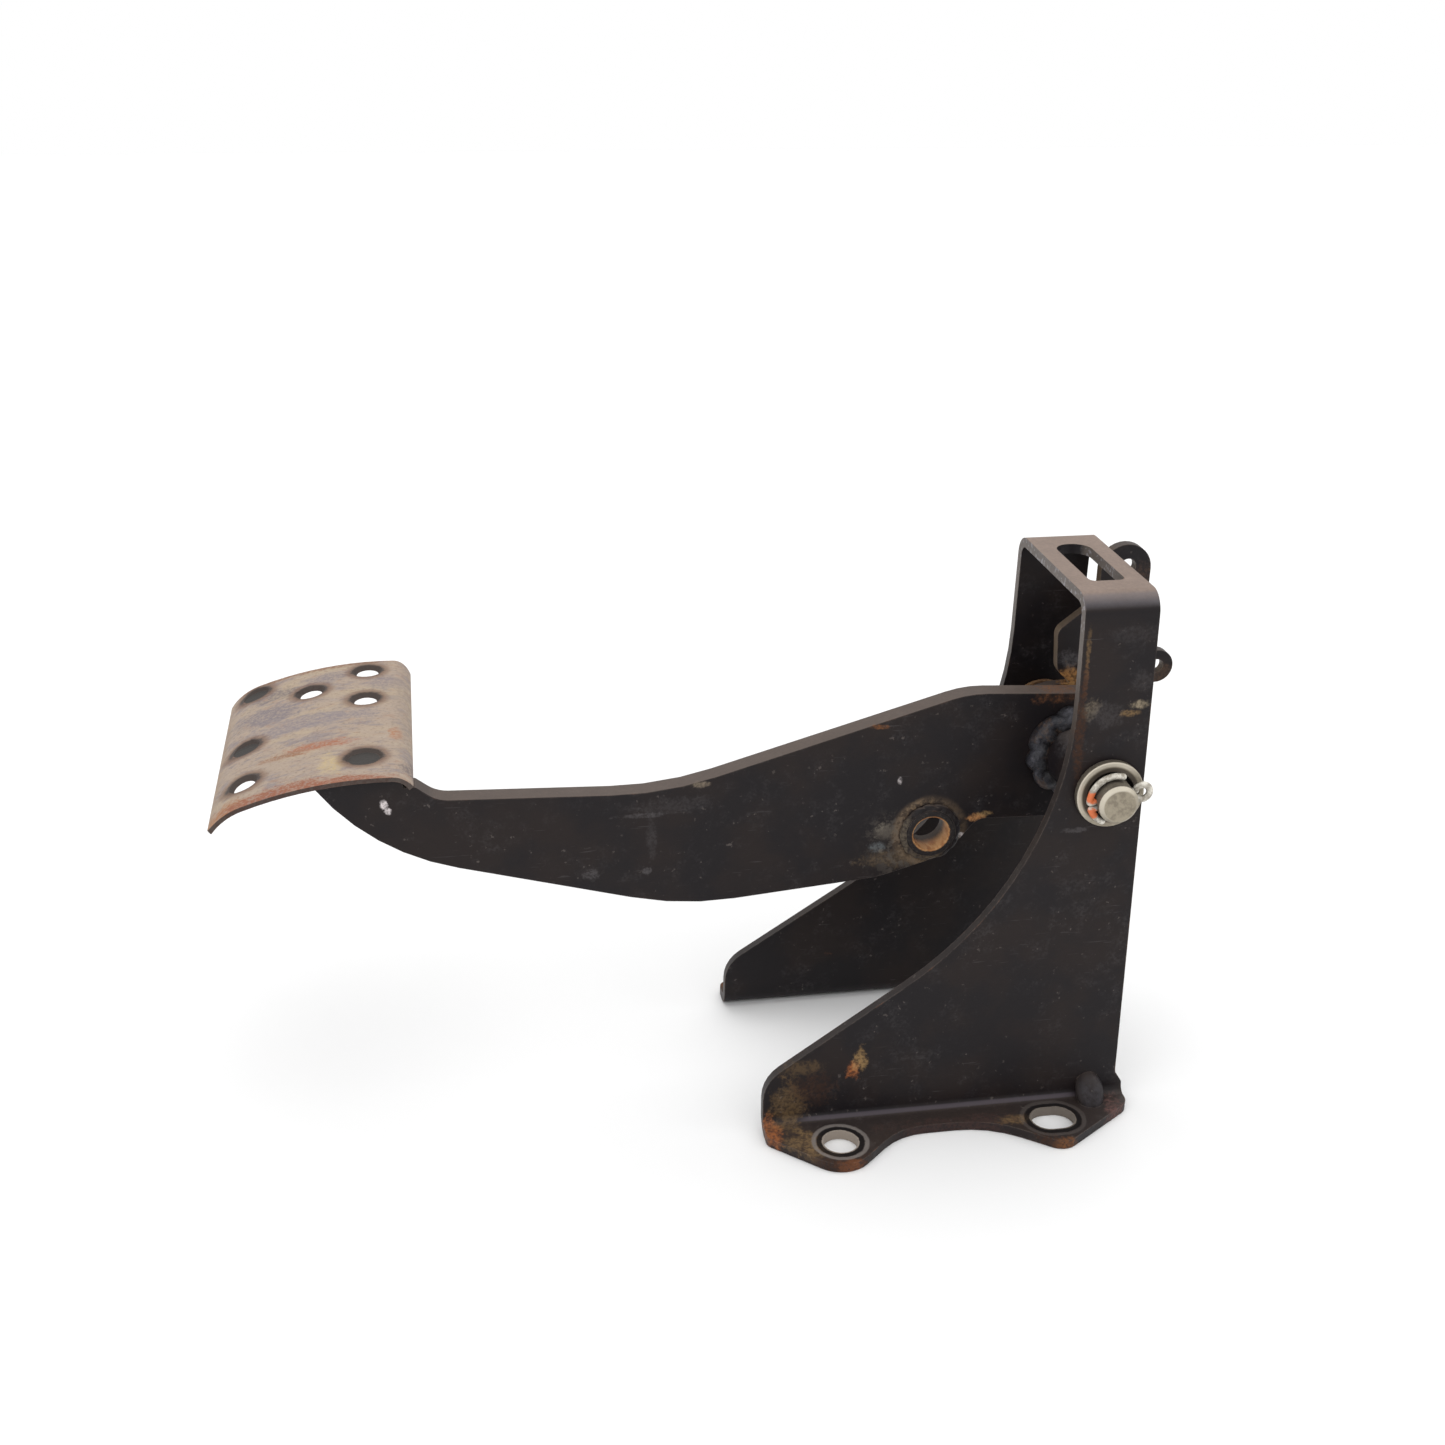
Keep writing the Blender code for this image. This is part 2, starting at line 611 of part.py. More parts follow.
def arm_outline():
    """The arm in XZ, from its hub end round the underside to the pad and back."""
    hub_back = PIVOT_X + TUBE_RADIUS + 10.4 * MM
    hub_low = PIVOT_Z - TUBE_RADIUS - 14.6 * MM
    hub_high = PIVOT_Z + TUBE_RADIUS + 9.0 * MM
    under = [(hub_back, hub_high, 20.0 * MM), (hub_back, hub_low, 20.0 * MM),
             (-46.9 * MM, hub_low + 1.5 * MM, 6.0 * MM),
             (ROD_X + 6.2 * MM, ROD_Z - 10.0 * MM, 8.0 * MM),
             (-83.0 * MM, 78.8 * MM, 40.0 * MM),
             (-154.8 * MM, 72.6 * MM, 105.0 * MM),
             (-263.4 * MM, 102.5 * MM, 81.0 * MM)]
    seat_low = PAD_TOP_X - 21.4 * MM
    lip_inner = PAD_LIP[0] - 2.0 * MM
    lip_under = min(PAD_HEEL[1], PAD_LIP[1]) - GAP
    steps = 6
    seat = []
    for i in range(steps):
        x = seat_low + (lip_inner - 5.0 * MM - seat_low) * i / (steps - 1)
        seat.append((x, pad_surface(x, ARM_TOP_DEPTH), 0.0))
    over = [(lip_inner, seat[-1][1], 3.2 * MM),
            (lip_inner, lip_under, 0.0),
            (PAD_HEEL[0] + 0.5 * MM, lip_under, 1.2 * MM),
            (-239.5 * MM, 120.8 * MM, 12.0 * MM),
            (-161.2 * MM, 117.9 * MM, 115.0 * MM),
            (-53.2 * MM, hub_high + 3.4 * MM, 40.0 * MM)]
    return rounded(under + seat + over, step=math.radians(8.0))


def make_arm(material, pedal):
    """The arm plate, with its hub and pushrod holes."""
    piece = sheet("pedal_arm", arm_outline(), "XZ", -ARM_FACE, ARM_FACE)
    along = (0.0, 1.0, 0.0)
    through = 3.0 * ARM_THICK
    hub = rod_cutter("cut_arm_hub", HUB_HOLE, (PIVOT_X, 0.0, PIVOT_Z), along, through)
    rod_hole = 2.0 * (ROD_BUSH_RADIUS + GAP)
    rod = rod_cutter("cut_arm_rod", rod_hole, (ROD_X, 0.0, ROD_Z), along, through)
    combine(piece, hub, "DIFFERENCE")
    combine(piece, rod, "DIFFERENCE")
    return keep(smooth(piece), material, pedal)


def make_rod_bush(material, pedal):
    """The pushrod bush that is welded into the arm."""
    half = ARM_FACE + ROD_BUSH_PROUD
    piece = ring("pushrod_bush", ROD_BORE / 2.0, ROD_BUSH_RADIUS, -half, half,
                 (ROD_X, 0.0, ROD_Z), edge=0.5 * MM)
    return keep(piece, material, pedal)


def lever_outline():
    """The lever in XZ: an end round the tube, a bulged front, a top eye and a back eye."""
    hub = TUBE_RADIUS + 5.4 * MM
    top = TOP_EYE_RADIUS
    back = BACK_EYE_RADIUS
    top_x, top_z = TOP_EYE
    back_x, back_z = BACK_EYE
    return rounded([
        (PIVOT_X - hub, PIVOT_Z - hub, hub - 0.3 * MM),
        (PIVOT_X + hub, PIVOT_Z - hub, hub - 0.3 * MM),
        (PIVOT_X + hub, PIVOT_Z + 8.0 * MM, 5.0 * MM),
        (back_x - 10.0 * MM, back_z - back, 8.0 * MM),
        (back_x + back, back_z - back, back - 0.05 * MM),
        (back_x + back, back_z + back, back - 0.05 * MM),
        (back_x - 9.5 * MM, back_z + back, 3.0 * MM),
        (top_x + top, top_z - 20.0 * MM, 9.0 * MM),
        (top_x + top, top_z + top, top - 0.05 * MM),
        (top_x - top, top_z + top, top - 0.05 * MM),
        (top_x - top, top_z - 11.2 * MM, 8.0 * MM),
        (top_x - 23.5 * MM, top_z - 22.4 * MM, 4.5 * MM),
        (top_x - 22.4 * MM, top_z - 38.0 * MM, 6.0 * MM),
        (PIVOT_X + 4.5 * MM, PIVOT_Z + hub, 0.5 * MM),
        (PIVOT_X - hub, PIVOT_Z + hub, hub - 0.3 * MM)])


def make_lever(material, pedal):
    """The lever plate that rides on the hub tube beside the arm."""
    piece = sheet("spring_lever", lever_outline(), "XZ", LEVER_Y, LEVER_Y + LEVER_THICK)
    middle = LEVER_Y + LEVER_THICK / 2.0
    along = (0.0, 1.0, 0.0)
    through = 4.0 * LEVER_THICK
    for name, diameter, (x, z), steps in (
            ("cut_lever_hub", HUB_HOLE, (PIVOT_X, PIVOT_Z), ROUND_STEPS),
            ("cut_top_eye", TOP_EYE_HOLE, (TOP_EYE[0] + 0.6 * MM, TOP_EYE[1] + 0.9 * MM), SMALL_STEPS),
            ("cut_back_eye", BACK_EYE_HOLE, BACK_EYE, SMALL_STEPS)):
        hole = rod_cutter(name, diameter, (x, middle, z), along, through, steps)
        combine(piece, hole, "DIFFERENCE")
    return keep(smooth(piece), material, pedal)


# ---------------------------------------------------------------- pad

PAD_HOLES = (
    # X, distance from the side, diameter at the underside, steel left under it
    (-305.7 * MM, 98.6 * MM, PAD_HOLE, PAD_HOLE_FLOOR),
    (-306.0 * MM, 49.5 * MM, PAD_HOLE, PAD_HOLE_FLOOR),
    (-304.8 * MM, 19.0 * MM, PAD_HOLE, 0.0),
    (-284.2 * MM, 84.2 * MM, PAD_HOLE, 0.0),
    (-263.3 * MM, 96.9 * MM, PAD_HOLE, 0.0),
    (-263.7 * MM, 69.8 * MM, PAD_HOLE, 0.0),
    (-263.6 * MM, 18.4 * MM, PAD_BIG_HOLE, PAD_HOLE_FLOOR),
)


def make_pad(material, pedal):
    """The crowned pad plate, with rounded corners, four open holes and three closed ones."""
    outline = pad_profile(0.0) + pad_profile(PAD_SHEET)[::-1]
    far_edge = PAD_EDGE_Y + PAD_WIDTH
    piece = sheet("pad_plate", outline, "XZ", PAD_EDGE_Y, far_edge)
    toe_x = min(x for x, z in outline)
    heel_x = max(x for x, z in outline)
    plan = rounded([(toe_x - GAP, PAD_EDGE_Y, PAD_TOE_CORNER),
                    (heel_x + GAP, PAD_EDGE_Y, PAD_NEAR_HEEL_CORNER),
                    (heel_x + GAP, far_edge, PAD_FAR_HEEL_CORNER),
                    (toe_x - GAP, far_edge, PAD_TOE_CORNER)])
    low = PAD_TOP_Z - 40.0 * MM
    high = PAD_TOP_Z + 10.0 * MM
    combine(piece, cutter(sheet("cut_pad_plan", plan, "XY", low, high)), "INTERSECT")
    for index, (x, across, diameter, floor) in enumerate(PAD_HOLES):
        z = pad_surface(x, PAD_SHEET / 2.0)
        normal = (x - PAD_CENTRE[0], 0.0, z - PAD_CENTRE[1])
        place = (x, PAD_EDGE_Y + across, z)
        hole = dish_cutter("cut_pad_%d" % index, diameter, place, normal, floor)
        combine(piece, hole, "DIFFERENCE")
    return keep(smooth(piece), material, pedal)


def make_pad_weld(material, pedal):
    """A weld bead in the corner between the pad's underside and the arm's +Y face."""
    radius = PAD_WELD / 2.0
    y = ARM_FACE + GAP + radius
    depth = PAD_SHEET + GAP + radius
    low = PAD_TOP_X - 18.0 * MM
    high = PAD_TOP_X + 1.0 * MM
    steps = 6
    points = []
    for i in range(steps + 1):
        x = low + (high - low) * i / steps
        points.append((x, y, pad_surface(x, depth)))
    piece = wire("pad_weld", points, radius)
    return keep(smooth(piece, 50.0), material, pedal)


# ---------------------------------------------------------------- assembly

def pedal_axis():
    """The empty on the pedal's axis, which every turning piece hangs from."""
    empty = bpy.data.objects.new("pedal_axis", None)
    PARTS.objects.link(empty)
    empty.location = (PIVOT_X, 0.0, PIVOT_Z)
    bpy.context.view_layer.update()
    return empty


def build():
    """Make every piece of the pedal and its bracket."""
    paint = finish_of("black_paint", (0.021, 0.019, 0.021), 0.42, 0.0)
    worn = finish_of("worn_pad_steel", (0.36, 0.30, 0.23), 0.60, 0.35)
    zinc = finish_of("dull_zinc", (0.44, 0.39, 0.30), 0.42, 0.9)
    bronze = finish_of("bush_bronze", (0.42, 0.27, 0.12), 0.45, 0.9)
    bead = finish_of("painted_weld", (0.030, 0.026, 0.026), 0.55, 0.0)
    rust = finish_of("rusty_bore", (0.30, 0.15, 0.07), 0.75, 0.2)

    make_bracket(paint)
    make_pin(zinc)
    make_washer(zinc)
    make_cotter(zinc)

    pedal = pedal_axis()
    make_tube(paint, pedal)
    make_bush("near_bush", -1.0, bronze, pedal)
    make_bush("far_bush", 1.0, bronze, pedal)
    make_arm(paint, pedal)
    make_lever(paint, pedal)
    make_rod_bush(rust, pedal)
    make_pad(worn, pedal)
    make_pad_weld(bead, pedal)
    hub = (PIVOT_X, 0.0, PIVOT_Z)
    rod = (ROD_X, 0.0, ROD_Z)
    rod_weld_width = ROD_BUSH_PROUD - GAP
    for label, side in (("near", -1.0), ("far", 1.0)):
        weld_ring("hub_weld_" + label, TUBE_RADIUS, HUB_WELD_LEG, HUB_WELD_WIDTH,
                  side * ARM_FACE, side, hub, bead, pedal)
        weld_ring("pushrod_weld_" + label, ROD_BUSH_RADIUS, ROD_WELD_LEG, rod_weld_width,
                  side * ARM_FACE, side, rod, bead, pedal)
    lever_faces = (("near", -1.0, LEVER_Y), ("far", 1.0, LEVER_Y + LEVER_THICK))
    for label, side, face in lever_faces:
        weld_ring("lever_weld_" + label, TUBE_RADIUS, LEVER_WELD_LEG, LEVER_WELD_LEG,
                  face, side, hub, bead, pedal)


build()
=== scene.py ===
"""Looks of a hanging foot pedal in its bolting bracket: worn black paint, rust and lumpy welds.

Every piece keeps the frame's coordinates: metres, +Z up, the feet on Z = 0, the pin along Y.
"""
import json
import math

import bmesh
import bpy
import numpy as np
from mathutils import Matrix, Vector

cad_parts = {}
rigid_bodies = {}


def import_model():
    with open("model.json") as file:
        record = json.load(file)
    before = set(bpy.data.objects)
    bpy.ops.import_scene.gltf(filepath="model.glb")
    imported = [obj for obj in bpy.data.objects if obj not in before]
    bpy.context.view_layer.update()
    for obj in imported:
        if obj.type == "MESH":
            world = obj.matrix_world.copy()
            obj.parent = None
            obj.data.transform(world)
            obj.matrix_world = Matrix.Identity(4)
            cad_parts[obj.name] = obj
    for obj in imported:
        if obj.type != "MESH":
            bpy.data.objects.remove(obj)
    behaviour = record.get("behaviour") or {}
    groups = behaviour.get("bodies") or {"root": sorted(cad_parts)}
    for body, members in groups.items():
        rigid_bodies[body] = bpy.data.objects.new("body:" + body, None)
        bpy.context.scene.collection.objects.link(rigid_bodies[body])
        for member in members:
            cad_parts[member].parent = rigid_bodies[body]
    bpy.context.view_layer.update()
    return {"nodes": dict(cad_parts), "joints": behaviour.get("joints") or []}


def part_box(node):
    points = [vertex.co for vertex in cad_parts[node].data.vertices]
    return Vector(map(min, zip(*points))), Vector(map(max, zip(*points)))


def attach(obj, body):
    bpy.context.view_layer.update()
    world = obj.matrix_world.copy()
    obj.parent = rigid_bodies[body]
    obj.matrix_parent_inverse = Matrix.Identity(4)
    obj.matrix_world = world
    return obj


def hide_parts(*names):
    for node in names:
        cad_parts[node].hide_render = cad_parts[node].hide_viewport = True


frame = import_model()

MM = 0.001

# ---------------------------------------------------------------- places, from the frame

HINGE = frame["joints"][0]
PIVOT = np.array(HINGE["pos_m"])
BRACKET, PEDAL = HINGE["parent"], HINGE["child"]


def middle(node):
    """The middle of a CAD node's box."""
    low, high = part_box(node)
    return np.array((low + high) / 2.0)


def half_size(node):
    """Half of each side of a CAD node's box."""
    low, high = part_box(node)
    return np.array((high - low) / 2.0)


ROD = middle("pushrod_bush")
TUBE_RADIUS = half_size("hub_tube")[0]
ARM_FACE = half_size("pedal_arm")[1]

TUBE_WALL = 3.0 * MM
ROD_BUSH_WALL = 2.5 * MM
SOFT_EDGE = 0.5 * MM        # round on the ends of the hub tube
ROD_BUSH_EDGE = 0.55 * MM   # round on the ends of the pushrod bush
WELD_PLAY = 0.05 * MM       # between a bead's root and its tube
SHEET_EDGE = 0.45 * MM      # round on the cut edges of the sheets
ARM_EDGE = 0.55 * MM
BUSH_EDGE = 0.25 * MM
PIN_EDGE = 0.30 * MM
WASHER_EDGE = 0.40 * MM
WIRE_RADIUS = 1.2 * MM      # of the split pin, in its plane
WIRE_HALF_THICK = 1.0 * MM  # across its plane
SPLIT_PIN_LEAN = math.radians(13.0)

# The camera: how far it looks down, to the side and rolls, and where it stands.
CAMERA_TURNS = (23.884, 9.879, 0.744)
CAMERA_PLACE = (-0.23815, -0.560635, 0.394056)
CAMERA_LENS = 44.745


# ---------------------------------------------------------------- shader maths

class Value:
    """A number socket in a material's tree, whose sums and products add Math nodes."""

    def __init__(self, tree, socket):
        self.tree = tree
        self.socket = socket

    def math(self, operation, *others, order=None):
        """A Math node on this value and the others, in the given order."""
        node = self.tree.nodes.new("ShaderNodeMath")
        node.operation = operation
        for socket, item in zip(node.inputs, order or (self, *others)):
            join(self.tree, socket, item)
        return Value(self.tree, node.outputs[0])

    def __add__(self, other):
        return self.math("ADD", other)

    def __radd__(self, other):
        return self.math("ADD", other)

    def __sub__(self, other):
        return self.math("SUBTRACT", other)

    def __rsub__(self, other):
        return self.math("SUBTRACT", order=(other, self))

    def __mul__(self, other):
        return self.math("MULTIPLY", other)

    def __rmul__(self, other):
        return self.math("MULTIPLY", other)

    def __truediv__(self, other):
        return self.math("DIVIDE", other)

    def __rtruediv__(self, other):
        return self.math("DIVIDE", order=(other, self))

    def __pow__(self, other):
        return self.math("POWER", other)

    def largest(self, other):
        return self.math("MAXIMUM", other)

    def smallest(self, other):
        return self.math("MINIMUM", other)

    def step(self, low, high):
        """0 below low, 1 above high and a smooth rise between; high below low turns it over."""
        node = self.tree.nodes.new("ShaderNodeMapRange")
        node.interpolation_type = "SMOOTHSTEP"
        for socket, item in zip(node.inputs, (self, low, high, 0.0, 1.0)):
            join(self.tree, socket, item)
        return Value(self.tree, node.outputs[0])


def join(tree, socket, item):
    """Link a socket to another socket, or set it to a number, colour or vector."""
    if isinstance(item, Value):
        item = item.socket
    if isinstance(item, bpy.types.NodeSocket):
        tree.links.new(item, socket)
    elif hasattr(item, "__len__") and socket.type == "RGBA" and len(item) == 3:
        socket.default_value = (*item, 1.0)
    else:
        socket.default_value = item


class Finish:
    """One material: its tree, its Object coordinates and the shapes that patterns are made from."""

    def __init__(self, name):
        self.material = bpy.data.materials.new(name)
        self.material.use_nodes = True
        self.tree = self.material.node_tree
        self.shader = self.tree.nodes["Principled BSDF"]
        self.place = self.node("ShaderNodeTexCoord", output="Object")
        self.facing = self.node("ShaderNodeTexCoord", output="Normal")

    def node(self, kind, settings=None, output=0, **values):
        """Any node: its settings first, then the values or links of its sockets.

        A socket is named with _ for a space, or by number as s0, s1 and so on.
        """
        node = self.tree.nodes.new(kind)
        for name, setting in (settings or {}).items():
            setattr(node, name, setting)
        for name, value in values.items():
            numbered = name[0] == "s" and name[1:].isdigit()
            socket = node.inputs[int(name[1:]) if numbered else name.replace("_", " ")]
            join(self.tree, socket, value)
        return node.outputs[output]

    def axis(self, name):
        """One coordinate of the place, in metres."""
        split = self.node("ShaderNodeSeparateXYZ", output="XYZ".index(name), Vector=self.place)
        return Value(self.tree, split)

    def normal(self, name):
        """One part of the surface's own direction."""
        split = self.node("ShaderNodeSeparateXYZ", output="XYZ".index(name), Vector=self.facing)
        return Value(self.tree, split)

    def noise(self, size, detail=4.0, roughness=0.55, stretch=(1.0, 1.0, 1.0), warp=0.0, seed=0.0):
        """Noise with lumps about size metres across, from 0 to 1 about 0.5."""
        scaled = self.node("ShaderNodeVectorMath", {"operation": "MULTIPLY_ADD"}, s0=self.place,
                           s1=tuple(1.0 / (size * s) for s in stretch), s2=(seed, seed * 1.7, seed * 0.6))
        value = self.node("ShaderNodeTexNoise", Vector=scaled, Scale=1.0, Detail=detail,
                          Roughness=roughness, Distortion=warp)
        return Value(self.tree, value)

    def reach(self, centre, spread):
        """Distance from a centre, where each direction is measured in its own spread."""
        moved = self.node("ShaderNodeVectorMath", {"operation": "SUBTRACT"}, s0=self.place,
                          s1=tuple(centre))
        scaled = self.node("ShaderNodeVectorMath", {"operation": "DIVIDE"}, s0=moved,
                           s1=tuple(spread))
        length = self.node("ShaderNodeVectorMath", {"operation": "LENGTH"}, output=1, s0=scaled)
        return Value(self.tree, length)

    def spot(self, centre, spread, ragged, edge=0.45):
        """A ragged patch: 1 at its centre, 0 past its spread, its rim moved by a noise."""
        return (self.reach(centre, spread) + (ragged - 0.5) * 4.2).step(1.0 + edge, 1.0 - edge)

    def ragged(self, size, seed, stretch=(1.0, 1.0, 1.0)):
        """Blotchy noise for the rims of patches: large lumps broken up by small ones."""
        lumps = self.noise(size, 5.0, 0.7, stretch, 0.3, seed)
        return lumps * 0.62 + self.noise(size * 0.30, 4.0, 0.65, stretch, 0.0, seed + 3.0) * 0.38

    def mix(self, below, above, share):
        """A colour that goes from below to above as share goes from 0 to 1."""
        return self.node("ShaderNodeMix", {"data_type": "RGBA"}, output=2, s0=share, s6=below,
                         s7=above)

    def worn_edge(self, radius):
        """1 along sharp edges and 0 on flats, from how far a rounded direction leaves the true one."""
        rounded = self.node("ShaderNodeBevel", {"samples": 6}, Radius=radius)
        true = self.node("ShaderNodeNewGeometry", output="Normal")
        dot = self.node("ShaderNodeVectorMath", {"operation": "DOT_PRODUCT"}, output=1,
                        s0=rounded, s1=true)
        return (1.0 - Value(self.tree, dot)).step(0.01, 0.16)

    def bump(self, height, distance, strength=1.0, under=None):
        """A Bump on a height from 0 to 1, whose full rise is distance metres."""
        values = {"Height": height, "Distance": distance, "Strength": strength}
        if under is not None:
            values["Normal"] = under
        return self.node("ShaderNodeBump", **values)

    def done(self, colour, roughness, metallic, normal):
        """Feed the shader and give back the material."""
        for name, value in (("Base Color", colour), ("Roughness", roughness),
                            ("Metallic", metallic), ("Normal", normal)):
            if value is not None:
                join(self.tree, self.shader.inputs[name], value)
        return self.material


# Colours, in linear light.
BLACK_PAINT = (0.0085, 0.0066, 0.0078)
BROWN_BLACK = (0.0140, 0.0094, 0.0088)
WEB_DUST = (0.255, 0.192, 0.158)
EDGE_DUST = (0.115, 0.088, 0.074)
GREY_FILM = (0.070, 0.064, 0.066)
# Colour of the painted highlight along the feet's folds.
FOLD_HIGHLIGHT_GREY = (0.085, 0.070, 0.085)
RUST_DARK = (0.045, 0.020, 0.011)
RUST = (0.155, 0.062, 0.024)
RUST_BRIGHT = (0.42, 0.135, 0.040)
OCHRE = (0.300, 0.185, 0.078)
BEIGE = (0.37, 0.30, 0.205)
WHITE_CHIP = (0.66, 0.60, 0.60)
ZINC = (0.315, 0.275, 0.205)
BRIGHT_ZINC = (0.70, 0.67, 0.60)
OLD_ZINC = (0.185, 0.155, 0.115)
RUST_ORANGE = (0.60, 0.140, 0.042)
BRONZE = (0.24, 0.135, 0.062)

# Foot holes on one side: middle in X and in Y, and half their extra length, in mm.
FOOT_HOLES = ((-106.3, 57.0, 0.0, 1.0), (-27.5, 55.0, 1.75, 0.22))


def foot_hole_marks(f, ragged):
    """Where bolts sat: a rubbed ring, the dark dent inside it and the bright wall of the hole."""
    across = f.axis("Y").math("ABSOLUTE")
    along = f.axis("X")
    low = f.axis("Z").step(4.8 * MM, 4.0 * MM)
    ring, dent, wall = 0.0, 0.0, 0.0
    for x, y, stretch, bright in FOOT_HOLES:
        aside = ((along - x * MM).math("ABSOLUTE") - stretch * MM).largest(0.0)
        beyond = across - y * MM
        away = (aside * aside + beyond * beyond) ** 0.5 / MM + (ragged - 0.5) * 1.4
        ring = ring + away.step(8.4, 9.0) * away.step(10.6, 9.9) * bright
        dent = dent + away.step(8.9, 8.2)
        wall = wall + away.step(6.9, 6.5) * (0.4 + 0.6 * bright)
    return ring * low, dent * low, wall * low


def worn_paint(name, patches, dust, extra=None):
    """Satin black paint with dust on top, rubbed edges, fine scratches, and its own patches.

    Each patch is (centre in mm, spread in mm, colour, strength).  dust gives the shade and
    the share of dust on a surface that faces up.  extra adds marks of one piece alone.
    """
    f = Finish(name)
    f.shader.inputs["Specular IOR Level"].default_value = 0.19
    broad = f.noise(0.030, seed=3.1)
    fine = f.noise(0.0012, detail=5.0, roughness=0.6, seed=1.3)
    ragged = f.ragged(0.0052, 7.7)
    blotch = f.ragged(0.016, 9.4)
    colour = f.mix(BLACK_PAINT, BROWN_BLACK, broad.step(0.40, 0.62))
    film = blotch.step(0.50, 0.66) * fine.step(0.38, 0.62) * 0.22
    colour = f.mix(colour, GREY_FILM, film)
    speck = f.noise(0.0021, 3.0, 0.5, seed=21.0).step(0.66, 0.72) * blotch.step(0.44, 0.60)
    colour = f.mix(colour, (0.13, 0.11, 0.10), speck * 0.45)
    streak = f.noise(0.0009, detail=2.0, stretch=(14.0, 14.0, 1.0), warp=0.3, seed=5.2)
    scratch = streak.step(0.68, 0.73) * broad.step(0.44, 0.62)
    colour = f.mix(colour, GREY_FILM, scratch * 0.35)
    shade, level = dust
    upward = f.normal("Z").step(0.55, 0.95)
    settled = (upward * (0.55 + 0.55 * blotch) * (0.62 + 0.6 * fine) * level(f)).smallest(1.0)
    colour = f.mix(colour, shade, settled)
    edge = f.worn_edge(0.8 * MM)
    rubbed = edge * (0.20 + 0.80 * ragged.step(0.40, 0.58))
    colour = f.mix(colour, (0.105, 0.084, 0.072), rubbed * 0.60)
    rusted = edge * blotch.step(0.53, 0.64) * 0.55
    colour = f.mix(colour, RUST, rusted)
    worn = rusted
    for centre, spread, patch_colour, strength in patches:
        inside = f.spot([c * MM for c in centre], [s * MM for s in spread], ragged)
        share = inside * strength * (0.30 + 0.85 * fine.step(0.34, 0.62))
        colour = f.mix(colour, patch_colour, share.smallest(1.0))
        worn = worn.largest(share)
    height = fine * (0.22 + worn + 0.35 * edge)
    if extra is not None:
        colour, height = extra(f, colour, height, ragged)
    roughness = 0.34 + 0.14 * broad + 0.12 * fine + 0.20 * settled + 0.30 * worn
    peel = f.bump(f.noise(0.0024, detail=2.0, seed=6.0), 0.00005, 0.6)
    return f.done(colour, roughness.smallest(0.95), 0.0, f.bump(height, 0.00020, 0.9, peel))


def even_dust(amount):
    """The same share of dust on every surface that faces up."""
    return lambda f: amount


def bracket_extra(f, colour, height, ragged):
    """Marks of the bracket alone: a painted highlight on its top bends with painted shade below them, its
    cut front edge, a painted highlight along the feet's folds, and its bolt marks.
    """
    # Painted highlight on the top bends: a grey band high up, on faces that look partly up and partly
    # sideways.
    high = f.axis("Z").step(0.182, 0.190)
    up = f.normal("Z")
    top_bend_highlight = up.step(0.30, 0.66) * up.step(0.99, 0.86) * high
    colour = f.mix(colour, (0.125, 0.115, 0.125), top_bend_highlight * (0.25 + 0.6 * ragged))
    # Painted shade: sideways faces just below the top bends go back to plain black paint.
    below = up.step(0.42, 0.20) * high
    colour = f.mix(colour, BLACK_PAINT, below * 0.8)
    front = (0.0 - f.normal("X")).step(0.55, 0.90)
    tall = f.axis("Z").step(0.128, 0.176) * 0.55 + 0.16
    colour = f.mix(colour, (0.150, 0.125, 0.108), front * tall * (0.35 + 1.0 * ragged))
    chips = f.noise(0.0016, 3.0, 0.6, seed=13.0).step(0.55, 0.64) * front
    chips = chips * f.axis("Z").step(0.170, 0.190)
    colour = f.mix(colour, (0.30, 0.29, 0.32), chips * 0.5)
    outer = f.axis("Y").math("ABSOLUTE")
    # Painted highlight: a violet-grey line along the concave fold of each foot.
    foot_fold_highlight = ((outer - 43.6 * MM) / (1.1 * MM)) ** 2.0 + ((f.axis("Z") - 4.5 * MM) / (1.1 * MM)) ** 2.0
    foot_fold_highlight = foot_fold_highlight.step(1.0, 0.1) * f.axis("X").step(-0.121, -0.114) * f.axis("X").step(-0.012, -0.018)
    colour = f.mix(colour, FOLD_HIGHLIGHT_GREY, foot_fold_highlight * 0.55)
    dart = f.reach((-10.5 * MM, 0.0, 7.0 * MM), (6.4 * MM, 1000.0, 6.0 * MM)) + (ragged - 0.5) * 1.5
    dart = dart.step(1.1, 0.5) * (outer / MM).step(41.6, 43.6) * (outer / MM).step(53.0, 50.0)
    colour = f.mix(colour, (0.032, 0.028, 0.032), dart * (0.15 + 0.75 * ragged.step(0.40, 0.62)))
    ring, dent, wall = foot_hole_marks(f, ragged)
    colour = f.mix(colour, (0.0062, 0.0052, 0.0055), dent.smallest(1.0) * 0.85)
    colour = f.mix(colour, (0.195, 0.172, 0.158), ring.smallest(1.0) * (0.35 + 0.7 * ragged))
    colour = f.mix(colour, (0.33, 0.28, 0.235), wall.smallest(1.0) * 0.85)
    return colour, height + ring * 0.9 - dent * 1.1


